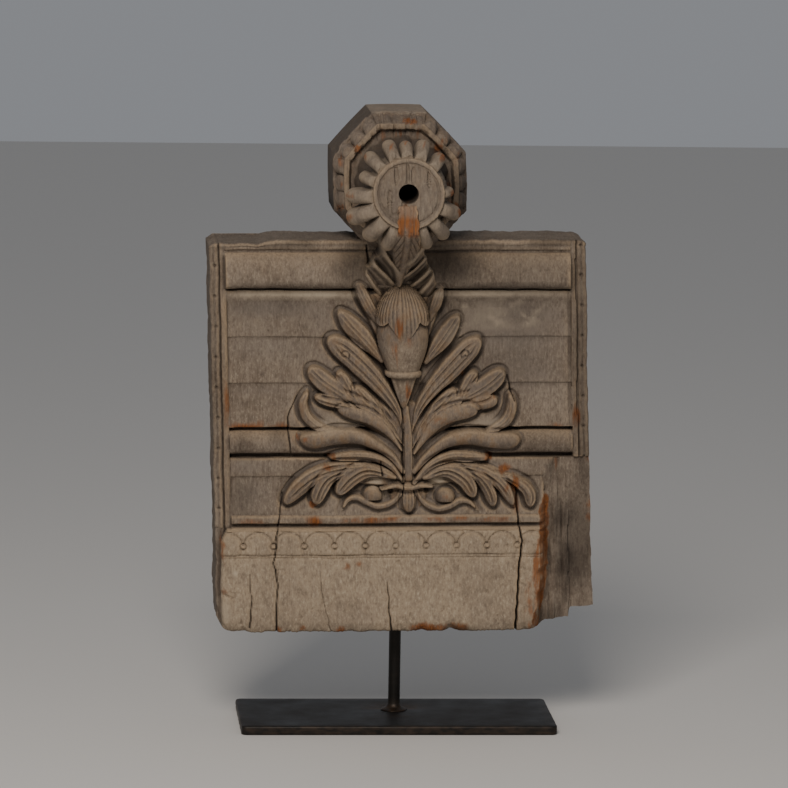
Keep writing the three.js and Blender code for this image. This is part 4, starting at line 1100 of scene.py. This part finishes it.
for share in np.linspace(0.92, 0.04, 16):
    radius = end_radius + (reach - end_radius) * share
    crown = np.sqrt(np.clip(1 - (radius * np.sin(petal_turn) / petal_half) ** 2, 0, 1))
    crown = crown * (petal_swell > 0)
    dome = petal_back + 7.6 + (151 - petal_back - 7.6) * (1 - share ** 2.0)
    dome = dome + 4.2 * (crown - 0.5) * math.sin(math.pi * share ** 1.2) ** 0.7
    groove = 1.6 * (1 - petal_swell) * math.sin(math.pi * min(1, share * 1.15)) ** 0.5
    rings.append((radius - 0.2 * groove, dome - groove))
rings += [(35.6, 153.0), (35.7, 154.6), (35.2, 155.7)]

# The flat end: a rim, an incised ring, upright grain opened by weather, and the peg hole
incised = 30.2
for radius in (34.4, 33.6, 32.8, 32.2, 31.6, 31.0, 30.3, 29.6, 28.9, 28.2, 27, 25.6, 24.2, 22.8, 21.4, 20,
               18.6, 17.2, 15.8, 14.4, 13, 11.8, 10.9, 10.2):
    on_x, on_y = radius * np.cos(angle), radius * np.sin(angle)
    sunk = 1.7 * math.exp(-((radius - incised) / 1.2) ** 4) + 0.5 * (radius < 29)
    grain_gaps = ease(patches(on_x + 7, on_y + 5, 3.0, 22, 92), 0.1, 0.4)
    opened = 0.7 * patches(on_x + 50, on_y, 1.6, 22, 91) - 2.2 * grain_gaps
    opened *= 1.0 if radius < 29.5 else 0.3
    rings.append((radius, disc_front - sunk + opened))
rings += [(9.8, 155.0), (9.6, 152), (9.5, 146), (9.4, 136), (9.3, 122), (9.2, 108), (9.0, 95), (6, 94.2),
          (2, 94)]

radius, deep_rings = [np.array([np.broadcast_to(ring[n], around) for ring in rings], float)
                      for n in (0, 1)]
turned = np.broadcast_to(angle, radius.shape)
stroke = 0.3 * patches(turned * 22, deep_rings, 1.4, 9, 93)
stroke = stroke + 0.35 * patches(turned * 40, deep_rings, 9, 7, 94) - 0.5
stroke = stroke * ((deep_rings > block_back + 2) & (radius > 12))
chips = 3.0 * bell(turned - 2.72, 0.07) * ease(deep_rings, 2, 26)
rim_chips = 1.4 * ease(patches(turned * 60, deep_rings, 4.5, 7, 99), 0.2, 0.7)
chips += rim_chips * bell(deep_rings - rim_front + 1, 3.5)
radius = radius + stroke - chips * (radius > 56) * (deep_rings < 50)
points_across = pendant_across + radius * np.cos(turned)
tall_here = np.full(radius.shape, 1.0)
tall_here[:octagon_rings] = octagon_tall
points_up = pendant_up + radius * np.sin(turned) * tall_here
fibres = 0.6 * patches(points_across, points_up, 1.7, 14, 97)
fibres += 0.5 * patches(points_across, points_up, 3.6, 9, 98)
fibres = fibres * (deep_rings > rim_front + 1) * (radius > 37) * np.where(eroded, 1.3, 0.6)
placed = set_in_place(points_across, deep_rings + fibres, points_up)
pendant = piece("lotus_pendant", *hoops(placed))
at_end, at_flower = deep_rings > 150, deep_rings > 118
on_face, on_petal = at_end & (radius < 30), at_flower & (radius > 36)
on_side = deep_rings > block_back + 1
on_lappets = (deep_rings > rim_front) & (deep_rings < 60) & (radius > 57)
in_ring = (deep_rings > 54) & (radius < 58) & (radius > 36.5)
broken_tips = stains(points_across, points_up, [
    (-36, 490, 4, 5, .9), (44, 491, 5, 5, .9), (53, 451, 4, 6, 1.0), (61, 432, 5, 6, 1.0),
    (-50, 452, 4, 4, .4), (18, 517, 7, 3, .9), (-10, 503, 4, 6, .5), (25, 503, 3, 6, .4),
    (-52, 430, 6, 5, .45), (7, 505, 4, 4, .4), (7, 437, 9, 8, .5), (64, 478, 3, 9, .4),
    (-53, 478, 3, 8, .4), (-56, 500, 5, 5, .4), (52, 497, 5, 5, .4)])
broken_tips = broken_tips * (deep_rings > 40)
tip_fibres = 0.45 * patches(points_across + 0.3 * deep_rings, points_up, 1.8, 6, 80)
damp = stains(points_across, points_up, [
    (66, 440, 14, 34, .7), (-58, 415, 22, 20, .6), (44, 470, 12, 22, .7)]) * (deep_rings < 100)
# Painted shade on the octagon's left facets.
left_side = (deep_rings < rim_front - 2) * (points_across < -20) * on_side
bell_shade = np.clip(1.2 - abs(deep_rings - 84) / 34, 0, 1) * (radius < 52) * (1 - 0.5 * low_swell)
# Painted shade in the grooves between the petals.
between_petals = (1 - petal_swell) * (radius > 36.4) * at_flower * ~at_end
# Painted shade in the bell behind the flower, down the peg hole and between petals; hollows hold dirt
# with painted shade; ridges are rubbed wear with a painted highlight.
lotus_marks = {
    "hollow": 0.25 * on_petal + np.where(in_ring, 0.25, 0.1) + 0.5 * bell(radius - incised, 1.4) * at_end
    + 0.5 * (1 - np.clip(kept * (1 - abs(local) ** 3), 0, 1)) * on_lappets,
    "ridge": 0.8 * bell(radius - reach, 4.0) * at_flower * petal_swell
    + 0.7 * bell(deep_rings - 62, 1.6) * (radius > 51) + 0.6 * bell(radius - 34.6, 1.6) * at_end,
    "deep_hollow": 0.9 * bell_shade + 1.2 * (radius < 10.2) * ease(155.5 - deep_rings, 0, 8)
    + between_petals,
    "raw": np.sqrt(broken_tips) * ease(broken_tips + tip_fibres, 0.22, 0.6),
    "soot_and_shade": damp + 0.6 * left_side + 0.25 * (1 - on_side) * (deep_rings < 0) + 0.12 * on_face
    + 0.42 * (deep_rings > 56) * (deep_rings < 115) * (radius < 53),
    "dust": 0.2 * on_petal + 0.1 * at_end + 0.2 * (facet == 2) * (deep_rings < rim_front) * on_side,
    "low_ground": np.full(radius.shape, 0.2),
    "leaf": np.where(on_face, 0.4, np.where(on_petal, 0.25, 0.5))}
for name, values in lotus_marks.items():
    mark(pendant, name, values.reshape(-1))
lighten(pendant, piece_limit, crisp=32)
pendant.data.materials.append(teak)
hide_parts("bracket")
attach(pendant, "root")

# A plain pale floor and a plain soft studio: one large lamp above and to the left of the carved
# face, and an even grey surround
floor_mesh = bpy.data.meshes.new("floor")
floor_mesh.from_pydata([(-6, -6, 0), (6, -6, 0), (6, 6, 0), (-6, 6, 0)], [], [(0, 1, 2, 3)])
floor = bpy.data.objects.new("floor", floor_mesh)
bpy.context.scene.collection.objects.link(floor)
pale, tree, shader = new_material("pale_floor")
shader.inputs["Base Color"].default_value = hex_colour("#d8d5d0")
shader.inputs["Roughness"].default_value = 0.9
floor_mesh.materials.append(pale)

world = bpy.data.worlds.new("studio")
world.use_nodes = True
surround = world.node_tree.nodes["Background"]
surround.inputs["Color"].default_value = hex_colour("#c9ccd2")
surround.inputs["Strength"].default_value = 0.41
bpy.context.scene.world = world


def lamp(name, place, aim, size, power, tint):
    light = bpy.data.lights.new(name, "AREA")
    light.shape = "RECTANGLE"
    light.size, light.size_y = size
    light.energy = power
    light.color = hex_colour(tint)[:3]
    thing = bpy.data.objects.new(name, light)
    thing.location = place
    thing.rotation_euler = (Vector(aim) - Vector(place)).to_track_quat("-Z", "Y").to_euler()
    bpy.context.scene.collection.objects.link(thing)


lamp("key", (-0.5, -2.2, 1.9), (0, 0, 0.33), (1.0, 1.0), 50, "#fff7ee")

# The camera stands well back and above, as the picture was taken
camera_data = bpy.data.cameras.new("camera")
sensor_width, focal_pixels, picture_pixels = 36, 5200, 788
camera_data.sensor_width = sensor_width
camera_data.lens = focal_pixels / picture_pixels * sensor_width
camera_data.clip_end = 40
camera = bpy.data.objects.new("camera", camera_data)
distance, bearing, camera_height = 5.2, math.radians(-4.5), 1.1
stand_point = Vector((distance * math.sin(bearing), -distance * math.cos(bearing), camera_height))
look_at = Vector((-0.0061, 0, 0.3371))
ahead = (look_at - stand_point).normalized()
right = ahead.cross(Vector((0, 0, 1))).normalized()
above = right.cross(ahead)
roll = math.radians(0.92)
right, above = (math.cos(roll) * right + math.sin(roll) * above,
                -math.sin(roll) * right + math.cos(roll) * above)
camera.matrix_world = Matrix((
    (right.x, above.x, -ahead.x, stand_point.x),
    (right.y, above.y, -ahead.y, stand_point.y),
    (right.z, above.z, -ahead.z, stand_point.z),
    (0, 0, 0, 1)))
bpy.context.scene.collection.objects.link(camera)
bpy.context.scene.camera = camera
